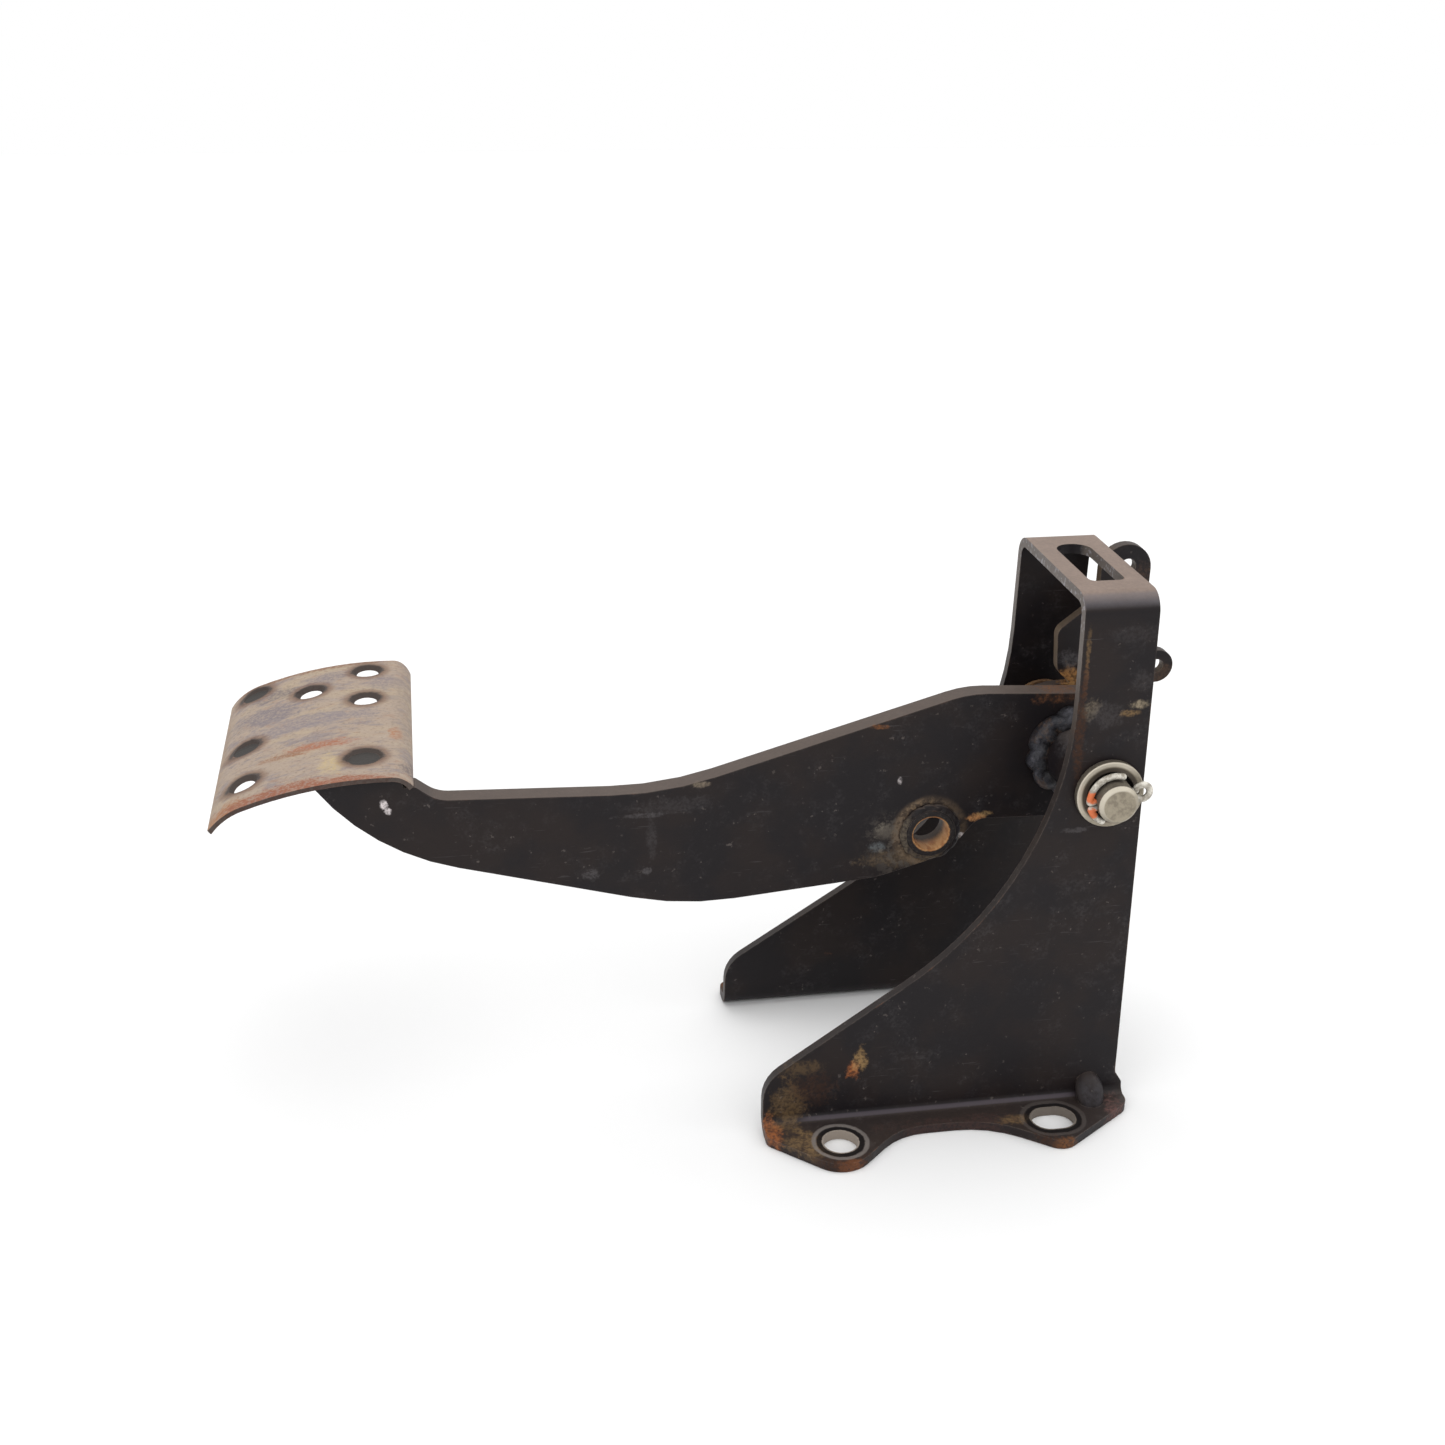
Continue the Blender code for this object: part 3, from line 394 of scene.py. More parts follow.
def bracket_paint():
    """The bracket's paint: stains on the toes and feet, marks from the bolts' flanges."""
    def level(f):
        return f.axis("Z").step(0.184, 0.193) * 0.95 + 0.10

    patches = [
        # The near foot's toe, front lobe and rear corner.
        ((-129.5, -49.0, 4.0), (3.6, 7.0, 4.0), RUST_BRIGHT, 0.50),
        ((-122.5, -43.5, 9.0), (6.0, 6.0, 9.0), OCHRE, 0.24),
        ((-119.5, -55.5, 3.5), (7.0, 5.0, 2.5), OCHRE, 0.34),
        ((-115.0, -62.0, 3.5), (9.0, 3.0, 2.5), OCHRE, 0.30),
        ((-104.5, -70.5, 2.5), (4.2, 3.4, 4.0), RUST_BRIGHT, 0.55),
        ((-112.0, -68.0, 2.0), (12.0, 4.0, 3.0), RUST_DARK, 0.70),
        ((-118.0, -42.0, 25.0), (7.0, 3.0, 3.0), OCHRE, 0.16),
        ((-113.0, -41.5, 16.0), (7.0, 3.0, 6.0), RUST_DARK, 0.50),
        ((-41.0, -53.6, 3.5), (6.0, 2.4, 2.0), OCHRE, 0.48),
        ((-27.0, -69.0, 2.5), (5.0, 3.2, 4.0), RUST, 0.80),
        ((-38.0, -66.0, 2.0), (10.0, 3.0, 3.0), RUST_DARK, 0.75),
        ((-3.5, -56.0, 2.0), (4.0, 9.0, 3.0), (0.14, 0.070, 0.062), 0.62),
        ((-60.0, -52.5, 1.5), (30.0, 4.0, 3.0), (0.050, 0.026, 0.022), 0.60),
        # The near side plate.
        ((-98.8, -41.7, 22.4), (2.3, 3.0, 3.3), RUST_BRIGHT, 0.62),
        ((-96.6, -41.7, 26.2), (2.4, 3.0, 4.6), OCHRE, 0.62),
        ((-4.2, -36.3, 156.2), (3.0, 3.0, 1.3), BEIGE, 0.50),
        ((-7.4, -36.3, 153.2), (3.0, 3.0, 1.0), OCHRE, 0.45),
        ((-21.8, -36.3, 155.6), (3.0, 3.0, 3.4), (0.125, 0.100, 0.072), 0.70),
        ((-16.0, -36.3, 153.0), (5.0, 3.0, 4.0), GREY_FILM, 0.30),
        ((-23.9, -35.3, 176.0), (0.8, 3.0, 8.0), OCHRE, 0.26),
        ((-24.0, -35.8, 166.0), (0.8, 3.0, 9.0), RUST, 0.30),
        ((-24.5, -36.5, 148.0), (1.6, 4.0, 18.0), RUST_DARK, 0.80),
        ((-8.0, -35.1, 181.0), (9.0, 3.0, 3.0), GREY_FILM, 0.16),
        ((-4.0, -35.9, 165.0), (3.0, 3.0, 3.0), GREY_FILM, 0.22),
        ((-23.0, -38.0, 111.0), (3.6, 3.0, 0.9), GREY_FILM, 0.55),
        # The far side, which the same bolts and weather marked.
        ((-128.0, 52.0, 3.5), (6.0, 7.0, 3.0), RUST, 0.60),
        ((-112.0, 66.0, 3.5), (9.0, 5.0, 3.0), OCHRE, 0.38),
        ((-27.0, 68.0, 3.0), (6.0, 4.0, 4.0), RUST, 0.62),
        ((-90.0, 42.5, 22.0), (5.0, 3.0, 3.0), RUST, 0.45),
        ((-16.0, 36.5, 150.0), (7.0, 3.0, 4.0), GREY_FILM, 0.40),
        ((-12.9, 37.5, 125.0), (15.0, 3.0, 15.0), GREY_FILM, 0.40),
    ]
    return worn_paint("bracket_black", patches, (WEB_DUST, level), bracket_extra)


def arm_extra(f, colour, height, ragged):
    """Marks of the arm alone: the heat-stained ring about the pushrod bush."""
    away = f.reach((ROD[0], 0.0, ROD[2]), (MM, 1000.0, MM)) + (ragged - 0.5) * 5.0
    left = (f.axis("X") / MM).step(-60.0, -70.0)
    halo = away.step(10.6, 11.8) * away.step(15.2, 12.8) * (0.35 + 0.65 * left)
    colour = f.mix(colour, (0.165, 0.112, 0.068), halo * (0.25 + 0.75 * ragged.step(0.44, 0.58)))
    smear = away.step(30.0, 14.0) * (f.axis("X") / MM).step(-62.0, -76.0)
    low = (f.axis("Z") / MM).step(108.0, 98.0)
    colour = f.mix(colour, (0.085, 0.072, 0.060), smear * low * ragged.step(0.47, 0.60) * 0.75)
    return colour, height + halo * 0.6


def arm_paint():
    """The arm's paint: scuffs about the pushrod bush, chips and long dull streaks."""
    y = -ARM_FACE / MM
    patches = [
        ((-81.5, y, 97.4), (3.6, 2.0, 2.6), (0.150, 0.130, 0.105), 0.70),
        ((-84.0, y, 91.0), (2.6, 2.0, 1.8), (0.110, 0.120, 0.125), 0.65),
        ((-76.0, y, 86.0), (12.0, 2.0, 3.0), (0.110, 0.078, 0.048), 0.60),
        ((-53.6, y, 93.8), (2.0, 2.0, 1.2), WHITE_CHIP, 0.80),
        ((-56.0, y, 99.5), (1.8, 2.0, 4.0), GREY_FILM, 0.70),
        ((-47.6, y, 100.6), (3.0, 2.0, 1.2), (0.36, 0.17, 0.065), 0.90),
        ((-44.5, y, 101.8), (2.4, 2.0, 1.0), OCHRE, 0.60),
        ((-77.0, y, 117.5), (0.8, 2.0, 1.4), WHITE_CHIP, 0.42),
        ((-148.2, y, 120.6), (3.0, 2.0, 0.9), (0.24, 0.19, 0.14), 0.55),
        ((-257.3, y, 120.6), (1.0, 2.0, 1.5), WHITE_CHIP, 0.95),
        ((-256.2, y, 118.0), (0.9, 2.0, 1.1), WHITE_CHIP, 0.80),
        ((-85.0, y, 138.6), (3.4, 2.0, 0.8), RUST, 0.75),
        ((-170.0, y, 110.0), (8.0, 2.0, 0.8), GREY_FILM, 0.50),
        ((-166.0, y, 100.0), (1.6, 2.0, 8.0), GREY_FILM, 0.28),
        ((-187.0, y, 88.0), (3.0, 2.0, 2.0), GREY_FILM, 0.60),
        ((-168.0, y, 88.0), (1.6, 2.0, 1.2), GREY_FILM, 0.70),
        ((-158.0, y, 113.0), (12.0, 2.0, 3.0), GREY_FILM, 0.22),
        ((-60.0, y, 78.5), (16.0, 2.0, 2.0), RUST_DARK, 0.60),
        ((-20.0, ARM_FACE / MM, 146.0), (9.0, 9.0, 2.4), RUST, 0.55),
        ((-150.0, -y, 100.0), (20.0, 2.0, 9.0), GREY_FILM, 0.25),
        ((-90.0, -y, 96.0), (9.0, 2.0, 7.0), RUST_DARK, 0.55),
    ]
    return worn_paint("pedal_black", patches, (EDGE_DUST, even_dust(0.92)), arm_extra)


def lever_extra(f, colour, height, ragged):
    """The lever's front edge: a painted highlight, a thin tan line on the faces that look forward."""
    # Painted highlight on the faces that look forward.
    front = (0.0 - f.normal("X")).step(0.35, 0.80)
    colour = f.mix(colour, (0.150, 0.108, 0.072), front * (0.40 + 0.8 * ragged) * 0.8)
    return colour, height


def lever_paint():
    """The lever's paint, rusting where it meets the hub."""
    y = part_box("spring_lever")[0].y / MM
    patches = [
        ((-7.4, y, 145.0), (5.5, 5.0, 4.2), (0.34, 0.165, 0.055), 0.85),
        ((-5.0, y, 139.0), (6.0, 5.0, 4.0), OCHRE, 0.42),
        ((-9.0, y, 151.5), (5.0, 5.0, 3.0), GREY_FILM, 0.75),
        ((24.0, y, 144.0), (8.0, 5.0, 4.0), (0.075, 0.045, 0.030), 0.60),
        ((16.0, y, 183.0), (4.0, 5.0, 6.0), (0.070, 0.042, 0.030), 0.55),
        ((-10.0, y + 4.0, 120.0), (14.0, 3.0, 12.0), RUST_DARK, 0.65),
    ]
    return worn_paint("lever_black", patches, (EDGE_DUST, even_dust(0.5)), lever_extra)


# Pad holes as (x, y, radius at the skin) in mm and whether they are closed below.
PAD_HOLES = (
    (-305.7, 91.9, 5.9, True), (-306.0, 42.8, 5.9, True), (-304.8, 12.3, 5.9, False),
    (-284.2, 77.5, 5.9, False), (-263.3, 90.2, 5.9, False), (-263.7, 63.1, 5.9, False),
    (-263.6, 11.7, 6.8, True),
)
PAD_BEIGE = (0.310, 0.238, 0.180)
PAD_GREY = (0.185, 0.152, 0.155)
PAD_YELLOW = (0.440, 0.340, 0.180)


def pad_finish():
    """The pad's worn face: beige film, grey-violet streaks along X, rust at holes and rims, painted
    shadow inside the holes and painted shade on the sheet's sides.
    """
    f = Finish("pad_worn_steel")
    broad = f.noise(0.018, 5.0, 0.6, (2.0, 1.0, 1.0), 0.5, 2.4)
    streak = f.ragged(0.0085, 8.8, (2.3, 1.0, 2.0))
    wisp = f.ragged(0.0036, 4.1, (3.0, 1.0, 2.0))
    fine = f.noise(0.0012, detail=5.0, roughness=0.62, seed=1.9)
    ragged = f.ragged(0.0050, 3.3, (1.8, 1.0, 1.0))
    colour = f.mix(PAD_BEIGE, PAD_GREY, streak.step(0.48, 0.60) * 0.80)
    colour = f.mix(colour, PAD_YELLOW, broad.step(0.50, 0.66) * 0.22)
    colour = f.mix(colour, (0.150, 0.125, 0.135), wisp.step(0.54, 0.66) * 0.55)
    colour = f.mix(colour, (0.40, 0.33, 0.255), wisp.step(0.46, 0.36) * 0.40)
    colour = f.mix(colour, (0.235, 0.125, 0.078), ragged.step(0.53, 0.64) * 0.50)
    colour = f.mix(colour, (0.150, 0.100, 0.070), fine.step(0.52, 0.66) * 0.45)
    near_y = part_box("pad_plate")[0].y / MM
    far_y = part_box("pad_plate")[1].y / MM
    band = (0.235, 0.088, 0.048)
    stains = [
        ((-308.0, near_y + 1.0, 120.0), (12.0, 6.5, 10.0), (0.290, 0.135, 0.058), 0.95),
        ((-290.0, near_y + 1.0, 127.0), (24.0, 5.6, 9.0), band, 1.00),
        ((-268.0, near_y + 0.4, 131.0), (16.0, 3.4, 8.0), band, 0.85),
        ((-279.0, 26.5, 130.0), (11.0, 3.6, 9.0), (0.290, 0.110, 0.058), 0.85),
        ((-291.0, 24.0, 128.0), (8.0, 2.0, 9.0), (0.230, 0.115, 0.060), 0.80),
        ((-252.5, 30.0, 131.0), (2.2, 4.5, 6.0), (0.330, 0.135, 0.055), 0.75),
        ((-247.5, 3.0, 128.0), (4.5, 6.0, 8.0), (0.120, 0.098, 0.100), 0.75),
        ((-274.5, 9.0, 131.0), (4.0, 7.5, 6.0), (0.480, 0.365, 0.170), 0.50),
        ((-299.0, 66.0, 125.0), (13.0, 8.0, 10.0), (0.165, 0.140, 0.150), 0.85),
        ((-285.0, 50.0, 129.0), (24.0, 6.0, 9.0), (0.190, 0.162, 0.172), 0.70),
        ((-297.0, 83.0, 126.0), (9.0, 5.0, 9.0), (0.130, 0.108, 0.110), 0.70),
        ((-278.0, 88.0, 129.0), (10.0, 5.0, 9.0), (0.170, 0.145, 0.155), 0.60),
        ((-256.0, 78.0, 131.0), (7.0, 6.0, 9.0), (0.180, 0.150, 0.158), 0.60),
        ((-285.0, far_y, 128.0), (34.0, 2.4, 14.0), (0.190, 0.095, 0.055), 0.80),
        ((-250.0, 60.0, 128.0), (4.0, 48.0, 9.0), (0.250, 0.195, 0.155), 0.50),
        ((-316.0, 50.0, 114.0), (3.0, 60.0, 6.0), (0.260, 0.180, 0.115), 0.50),
    ]
    rough = streak * 0.12
    for centre, spread, stain_colour, strength in stains:
        share = f.spot([c * MM for c in centre], [s * MM for s in spread], ragged) * strength
        share = (share * (0.45 + 0.65 * fine.step(0.36, 0.60))).smallest(1.0)
        colour = f.mix(colour, stain_colour, share)
        rough = rough.largest(share * 0.3)
    for x, y, radius, closed in PAD_HOLES:
        away = f.reach((x * MM, y * MM, 0.0), (MM, MM, 1000.0)) + (ragged - 0.5) * 4.0
        halo = away.step(radius + 4.0, radius + 0.8)
        colour = f.mix(colour, (0.135, 0.068, 0.038), halo * 0.72)
        # Each hole's rim: painted shadow on its far side, a lighter rust on its near side.
        near = ((y * MM - f.axis("Y")) / MM).step(0.5, 3.0)
        rim = away.step(radius + 1.2, radius - 0.4)
        rim_colour = f.mix((0.026, 0.016, 0.012), (0.085, 0.045, 0.028), near)
        colour = f.mix(colour, rim_colour, rim * 0.96)
        if closed:
            # Closed holes: painted shade darkens the dish's floor. A rust lip shows on the near side
            # only.
            plain = f.reach((x * MM, y * MM, 0.0), (MM, MM, 1000.0)) + (fine - 0.5) * 1.2
            colour = f.mix(colour, (0.017, 0.013, 0.010), plain.step(radius - 1.0, radius - 1.8))
            lip = plain.step(radius - 1.9, radius - 1.4) * plain.step(radius - 0.6, radius - 1.1)
            colour = f.mix(colour, (0.19, 0.098, 0.060), lip * near * 0.8)
    # Painted shade: faces that look sideways, the sheet's cut sides, are made dark brown.
    side = f.normal("Z").step(0.35, 0.05)
    colour = f.mix(colour, (0.034, 0.024, 0.021), side * 0.92)
    edge = f.worn_edge(0.6 * MM)
    colour = f.mix(colour, (0.120, 0.066, 0.042), edge * ragged.step(0.42, 0.58) * 0.55)
    roughness = 0.54 + 0.16 * fine + rough
    grain = f.bump(fine, 0.00012, 0.8)
    scale = f.bump(ragged, 0.00030, 0.7, grain)
    return f.done(colour, roughness.smallest(0.95), 0.0, scale)


# The washer's painted highlight ring as (inner, outer) radius in mm, and the painted highlight on the
# pin's chamfer likewise.
WASHER_HIGHLIGHT_RADII = (10.5, 12.6)
PIN_CHAMFER_HIGHLIGHT_RADII = (5.6, 7.2)


def zinc_finish(name, rusty=(), ring=None, tone=ZINC, shadow_inside=False):
    """Dull plated steel with fine turning marks, painted shade in its hollows and gaps, and rusted spots.

    ring paints a highlight on the band between two radii about the pivot, brightest at its upper left,
    and paints shade on faces that look sideways;
    the last flag also paints a shadow on the face within the band.
    """
    f = Finish(name)
    fine = f.noise(0.0009, detail=4.0, seed=2.0)
    cloud = f.ragged(0.0052, 4.4)
    colour = f.mix(tone, OLD_ZINC, cloud.step(0.42, 0.60) * 0.8)
    # Painted shade on faces that look sideways, for the pin and washer only.
    side = f.normal("Y").math("ABSOLUTE").step(0.45, 0.10)
    colour = f.mix(colour, (0.085, 0.070, 0.055), side * (0.75 if ring is not None else 0.0))
    colour = f.mix(colour, (0.42, 0.38, 0.30), fine.step(0.58, 0.74) * 0.4)
    if ring is not None:
        # Painted highlight on the band between the two radii, brightest at the upper left.
        away = f.reach((PIVOT[0], 0.0, PIVOT[2]), (MM, 1000.0, MM)) + (cloud - 0.5) * 0.9
        lit_upper_left = ((f.axis("Z") - PIVOT[2]) / MM - (f.axis("X") - PIVOT[0]) / MM).step(-6.0, 7.0)
        band = away.step(ring[0] - 0.3, ring[0] + 0.3) * away.step(ring[1] + 0.3, ring[1] - 0.3)
        colour = f.mix(colour, (0.56, 0.51, 0.42), band * (1.0 - side) * (0.15 + 0.75 * lit_upper_left))
        if shadow_inside:
            # A painted shadow on the face just inside the highlight band.
            inner = away.step(ring[0] - 0.1, ring[0] - 0.7) * away.step(ring[0] - 3.4, ring[0] - 2.6)
            colour = f.mix(colour, (0.050, 0.038, 0.029), inner * 0.85)
    # Painted shade from ambient occlusion in gaps and hollows, where the metal is also made duller and
    # less metallic.
    gap_ao = f.node("ShaderNodeAmbientOcclusion", {"samples": 6}, output="AO", Distance=0.0038)
    painted_gap_shade = Value(f.tree, gap_ao).step(0.66, 0.26)
    colour = f.mix(colour, (0.026, 0.019, 0.015), painted_gap_shade * 0.92)
    rust = cloud.step(0.60, 0.70) * 0.4
    colour = f.mix(colour, (0.20, 0.12, 0.07), rust)
    metal = 0.45 - painted_gap_shade * 0.4 - rust
    for centre, spread in rusty:
        away = f.reach([c * MM for c in centre], [s * MM for s in spread]) + (fine - 0.5) * 0.9
        share = away.step(1.15, 0.75)
        colour = f.mix(colour, RUST_ORANGE, share)
        metal = metal - share
    roughness = 0.42 + 0.16 * cloud + 0.12 * fine + 0.3 * painted_gap_shade
    return f.done(colour, roughness, metal.largest(0.0), f.bump(fine, 0.00006, 0.8))


def weld_finish():
    """Painted-over weld metal: painted blue-grey highlights on its crests, painted shade near black in
    the hollows.
    """
    f = Finish("weld_black")
    f.shader.inputs["Specular IOR Level"].default_value = 0.40
    lumps = f.ragged(0.0042, 1.0)
    fine = f.noise(0.0011, detail=4.0, seed=6.6)
    # Ambient occlusion gives painted shade in the hollows and lighter crests.
    deep = f.node("ShaderNodeAmbientOcclusion", {"samples": 6}, output="AO", Distance=0.006)
    crest = Value(f.tree, deep).step(0.55, 0.92)
    colour = f.mix((0.0065, 0.0056, 0.0065), (0.020, 0.020, 0.026), crest)
    # Painted highlights: blue-grey on the crests.
    colour = f.mix(colour, (0.075, 0.072, 0.088), crest * lumps.step(0.48, 0.60) * 0.50)
    colour = f.mix(colour, (0.080, 0.045, 0.027), f.ragged(0.009, 3.0).step(0.52, 0.62) * 0.55)
    # Painted glints: light specks on the crests.
    colour = f.mix(colour, (0.150, 0.140, 0.145), fine.step(0.66, 0.76) * crest * 0.35)
    roughness = 0.30 + 0.22 * lumps + 0.14 * fine
    rough_lumps = f.noise(0.0050, 2.0, 0.4, seed=12.0)
    return f.done(colour, roughness, 0.0, f.bump(rough_lumps * 1.6 + lumps + fine * 0.3, 0.0010, 1.0))


def bush_finish(name, tone, deep):
    """A bush: a base tone with a deeper one in patches, and a turned grain."""
    f = Finish(name)
    cloud = f.ragged(0.0050, 1.5)
    fine = f.noise(0.0009, detail=4.0, seed=7.0)
    colour = f.mix(tone, deep, cloud.step(0.44, 0.58) * 0.85)
    colour = f.mix(colour, (0.10, 0.055, 0.03), fine.step(0.60, 0.72) * 0.5)
    roughness = 0.50 + 0.25 * cloud
    return f.done(colour, roughness, 0.25, f.bump(cloud + fine * 0.5, 0.00018, 0.8))


def rod_bush_finish(bore):
    """The pushrod bush: black end faces and an orange-tan bore, streaked along its length, with painted
    shade near black deeper in the bore.
    """
    f = Finish("rod_bush_rust")
    f.shader.inputs["Specular IOR Level"].default_value = 0.20
    streak = f.ragged(0.0032, 2.2, (1.0, 3.5, 1.0))
    fine = f.noise(0.0010, detail=4.0, seed=7.0)
    away = f.reach((ROD[0], 0.0, ROD[2]), (MM, 1000.0, MM)) + (fine - 0.5) * 0.7
    inside = away.step(bore / MM + 0.75, bore / MM + 0.25)
    rust = f.mix((0.29, 0.130, 0.050), (0.42, 0.230, 0.100), streak.step(0.44, 0.58))
    rust = f.mix(rust, (0.15, 0.060, 0.025), streak.step(0.44, 0.36) * 0.6)
    # Painted shade: the bore's wall goes near black away from its near end.
    deep = (f.axis("Y") / MM + (streak - 0.5) * 8.0).step(-2.0, 3.0)
    rust = f.mix(rust, (0.012, 0.008, 0.006), deep * 0.95)
    paint = f.mix((0.015, 0.012, 0.012), (0.060, 0.050, 0.042), fine.step(0.52, 0.66) * 0.5)
    return f.done(f.mix(paint, rust, inside), 0.50 + 0.25 * streak, 0.0,
                  f.bump(streak + fine * 0.5, 0.00020, 0.8))


# ---------------------------------------------------------------- meshes

def mesh_from_grid(name, points, closed_u, closed_v):
    """A mesh from a grid of points (u, v, 3); each closed direction joins its end to its start."""
    rows, columns = points.shape[:2]
    index = np.arange(rows * columns).reshape(rows, columns)
    if closed_u:
        index = np.vstack([index, index[:1]])
    if closed_v:
        index = np.hstack([index, index[:, :1]])
    faces = np.stack([index[:-1, :-1], index[1:, :-1], index[1:, 1:], index[:-1, 1:]], axis=-1)
    mesh = bpy.data.meshes.new(name)
    mesh.from_pydata(points.reshape(-1, 3).tolist(), [], faces.reshape(-1, 4).tolist())
    return finish_mesh(name, mesh)


def finish_mesh(name, mesh):
    """Weld doubles, point every face outwards and shade smooth, as a new object."""
    shape = bmesh.new()
    shape.from_mesh(mesh)
    bmesh.ops.remove_doubles(shape, verts=shape.verts, dist=1e-7)
    bmesh.ops.holes_fill(shape, edges=[e for e in shape.edges if e.is_boundary], sides=0)
    bmesh.ops.recalc_face_normals(shape, faces=shape.faces)
    shape.to_mesh(mesh)
    shape.free()
    mesh.shade_smooth()
    mesh.set_sharp_from_angle(angle=math.radians(40.0))
    piece = bpy.data.objects.new(name, mesh)
    bpy.context.scene.collection.objects.link(piece)
    return piece


def turn(name, profile, centre, steps=96, lumps=None):
    """A ring: a closed profile (radius, height) carried round an axis along Y through centre.

    A point is centre + (radius cos a, height, radius sin a).  lumps(a, radius, height) may
    move radius and height at each angle a.
    """
    section = np.array(profile)
    angle = np.linspace(0.0, 2.0 * np.pi, steps, endpoint=False)[:, None]
    radius = np.broadcast_to(section[:, 0], (steps, len(section)))
    height = np.broadcast_to(section[:, 1], (steps, len(section)))
    if lumps is not None:
        radius, height = lumps(angle, radius, height)
    points = np.stack([radius * np.cos(angle), height + 0.0 * angle, radius * np.sin(angle)], -1)
    return mesh_from_grid(name, points + centre, True, True)


def softened(low, high, inner, outer, edge, steps=4):
    """A ring's section from inner to outer radius and low to high, its four edges rounded."""
    corners = ((outer - edge, high - edge, 0.0), (inner + edge, high - edge, 90.0),
               (inner + edge, low + edge, 180.0), (outer - edge, low + edge, 270.0))
    quarter = np.radians(np.linspace(0.0, 90.0, steps + 1))
    points = [np.stack([r + edge * np.cos(quarter + math.radians(start)),
                        h + edge * np.sin(quarter + math.radians(start))], -1)
              for r, h, start in corners]
    return np.vstack(points)


def bead_section(inner, outer, face, crest, fullness, steps=12):
    """A fillet weld's section: from the tube out to the plate along a swollen curve.

    The curve is a superellipse quarter, |r|^n + |h|^n = 1 with n = fullness.
    """
    sweep = np.linspace(0.0, np.pi / 2.0, steps + 1)
    power = 2.0 / fullness
    radius = inner + (outer - inner) * np.cos(sweep) ** power
    height = face + (crest - face) * np.sin(sweep) ** power
    return np.vstack([np.stack([radius, height], -1), [[inner, face]]])


def runs(count, depth, low_radius, low_height, seed):
    """How a weld's two runs swell, lump by lump, more the further a point is from the root.

    A lump is |sin(phase / 2)|, so that rounds meet in sharp valleys.  The outer run has
    count lumps, the inner run as many, part of a lump further on, and the share of each
    goes with the point's place on the bead: swell = depth (share outer + (1 - share)
    inner - 1 + uneven), with uneven a sum of slow sines.
    """
    phase = np.random.RandomState(seed).uniform(0.0, 2.0 * np.pi, 5)

    def move(angle, radius, height):
        uneven = 0.16 * np.sin(2.0 * angle + phase[0]) + 0.12 * np.sin(3.0 * angle + phase[1])
        warp = 0.10 * np.sin(3.0 * angle + phase[2]) + 0.07 * np.sin(5.0 * angle + phase[3])
        out = (radius - low_radius) / np.abs(radius - low_radius).max()
        up = (height - low_height) / np.abs(height - low_height).max()
        share = np.clip(out * 1.6 - np.abs(up) * 0.9 + 0.3, 0.0, 1.0)
        skew = 0.9 * np.abs(up)
        outer = np.abs(np.sin(0.5 * count * (angle + warp) + phase[4] + skew))
        inner = np.abs(np.sin(0.5 * count * (angle - warp) + phase[4] + 1.3 - skew))
        swell = depth * (share * outer + (1.0 - share) * inner - 1.0 + uneven)
        return (radius + swell * out, height + swell * up * 1.1)

    return move


def weld_round(node, tube_radius, count, depth, fullness, seed, steps=360):
    """A lumpy bead in the place of a CAD weld ring, between its tube and its plate."""
    centre = middle(node)
    half = half_size(node)
    sign = 1.0 if narrows_outward_plus(node) else -1.0
    root = centre[1] - sign * half[1]
    tip = centre[1] + sign * half[1]
    keep_in = 0.30 * depth
    crest = tip - sign * keep_in
    section = bead_section(tube_radius, half[0] - keep_in, root, crest, fullness, 20)
    moved = runs(count, depth, tube_radius, root, seed)
    axis = np.array((centre[0], 0.0, centre[2]))
    return turn("run_" + node, section, axis, steps, moved)


def narrows_outward_plus(node):
    """Whether a weld ring's plate is on its -Y side, so that the bead narrows towards +Y."""
    return node.endswith("far")


def tube_along(name, path, radius, flat, around=20):
    """A round wire carried along a path that lies in a plane of constant Y.

    Each section is centre + radius cos t n + flat sin t y, with n square to the path in the
    plane and y along Y.  Both ends close in a half-ball.
    """
    path = np.array(path)
    ahead = np.gradient(path, axis=0)
    ahead /= np.linalg.norm(ahead, axis=1)[:, None]
    cap = np.linspace(np.pi / 2.0, 0.0, 6)
    start = path[0] - np.outer(np.sin(cap), ahead[0]) * radius
    end = path[-1] + np.outer(np.sin(cap[::-1]), ahead[-1]) * radius
    line = np.vstack([start, path[1:-1], end])
    scale = np.concatenate([np.cos(cap), np.ones(len(path) - 2), np.cos(cap[::-1])])
    along = np.vstack([np.repeat(ahead[:1], 6, 0), ahead[1:-1], np.repeat(ahead[-1:], 6, 0)])
    across = np.cross(along, (0.0, 1.0, 0.0))
    t = np.linspace(0.0, 2.0 * np.pi, around, endpoint=False)
    size = scale[:, None, None]
    points = (line[:, None, :] + size * radius * np.cos(t)[None, :, None] * across[:, None, :]
              + size * flat * np.sin(t)[None, :, None] * np.array((0.0, 1.0, 0.0)))
    return mesh_from_grid(name, points, False, True)


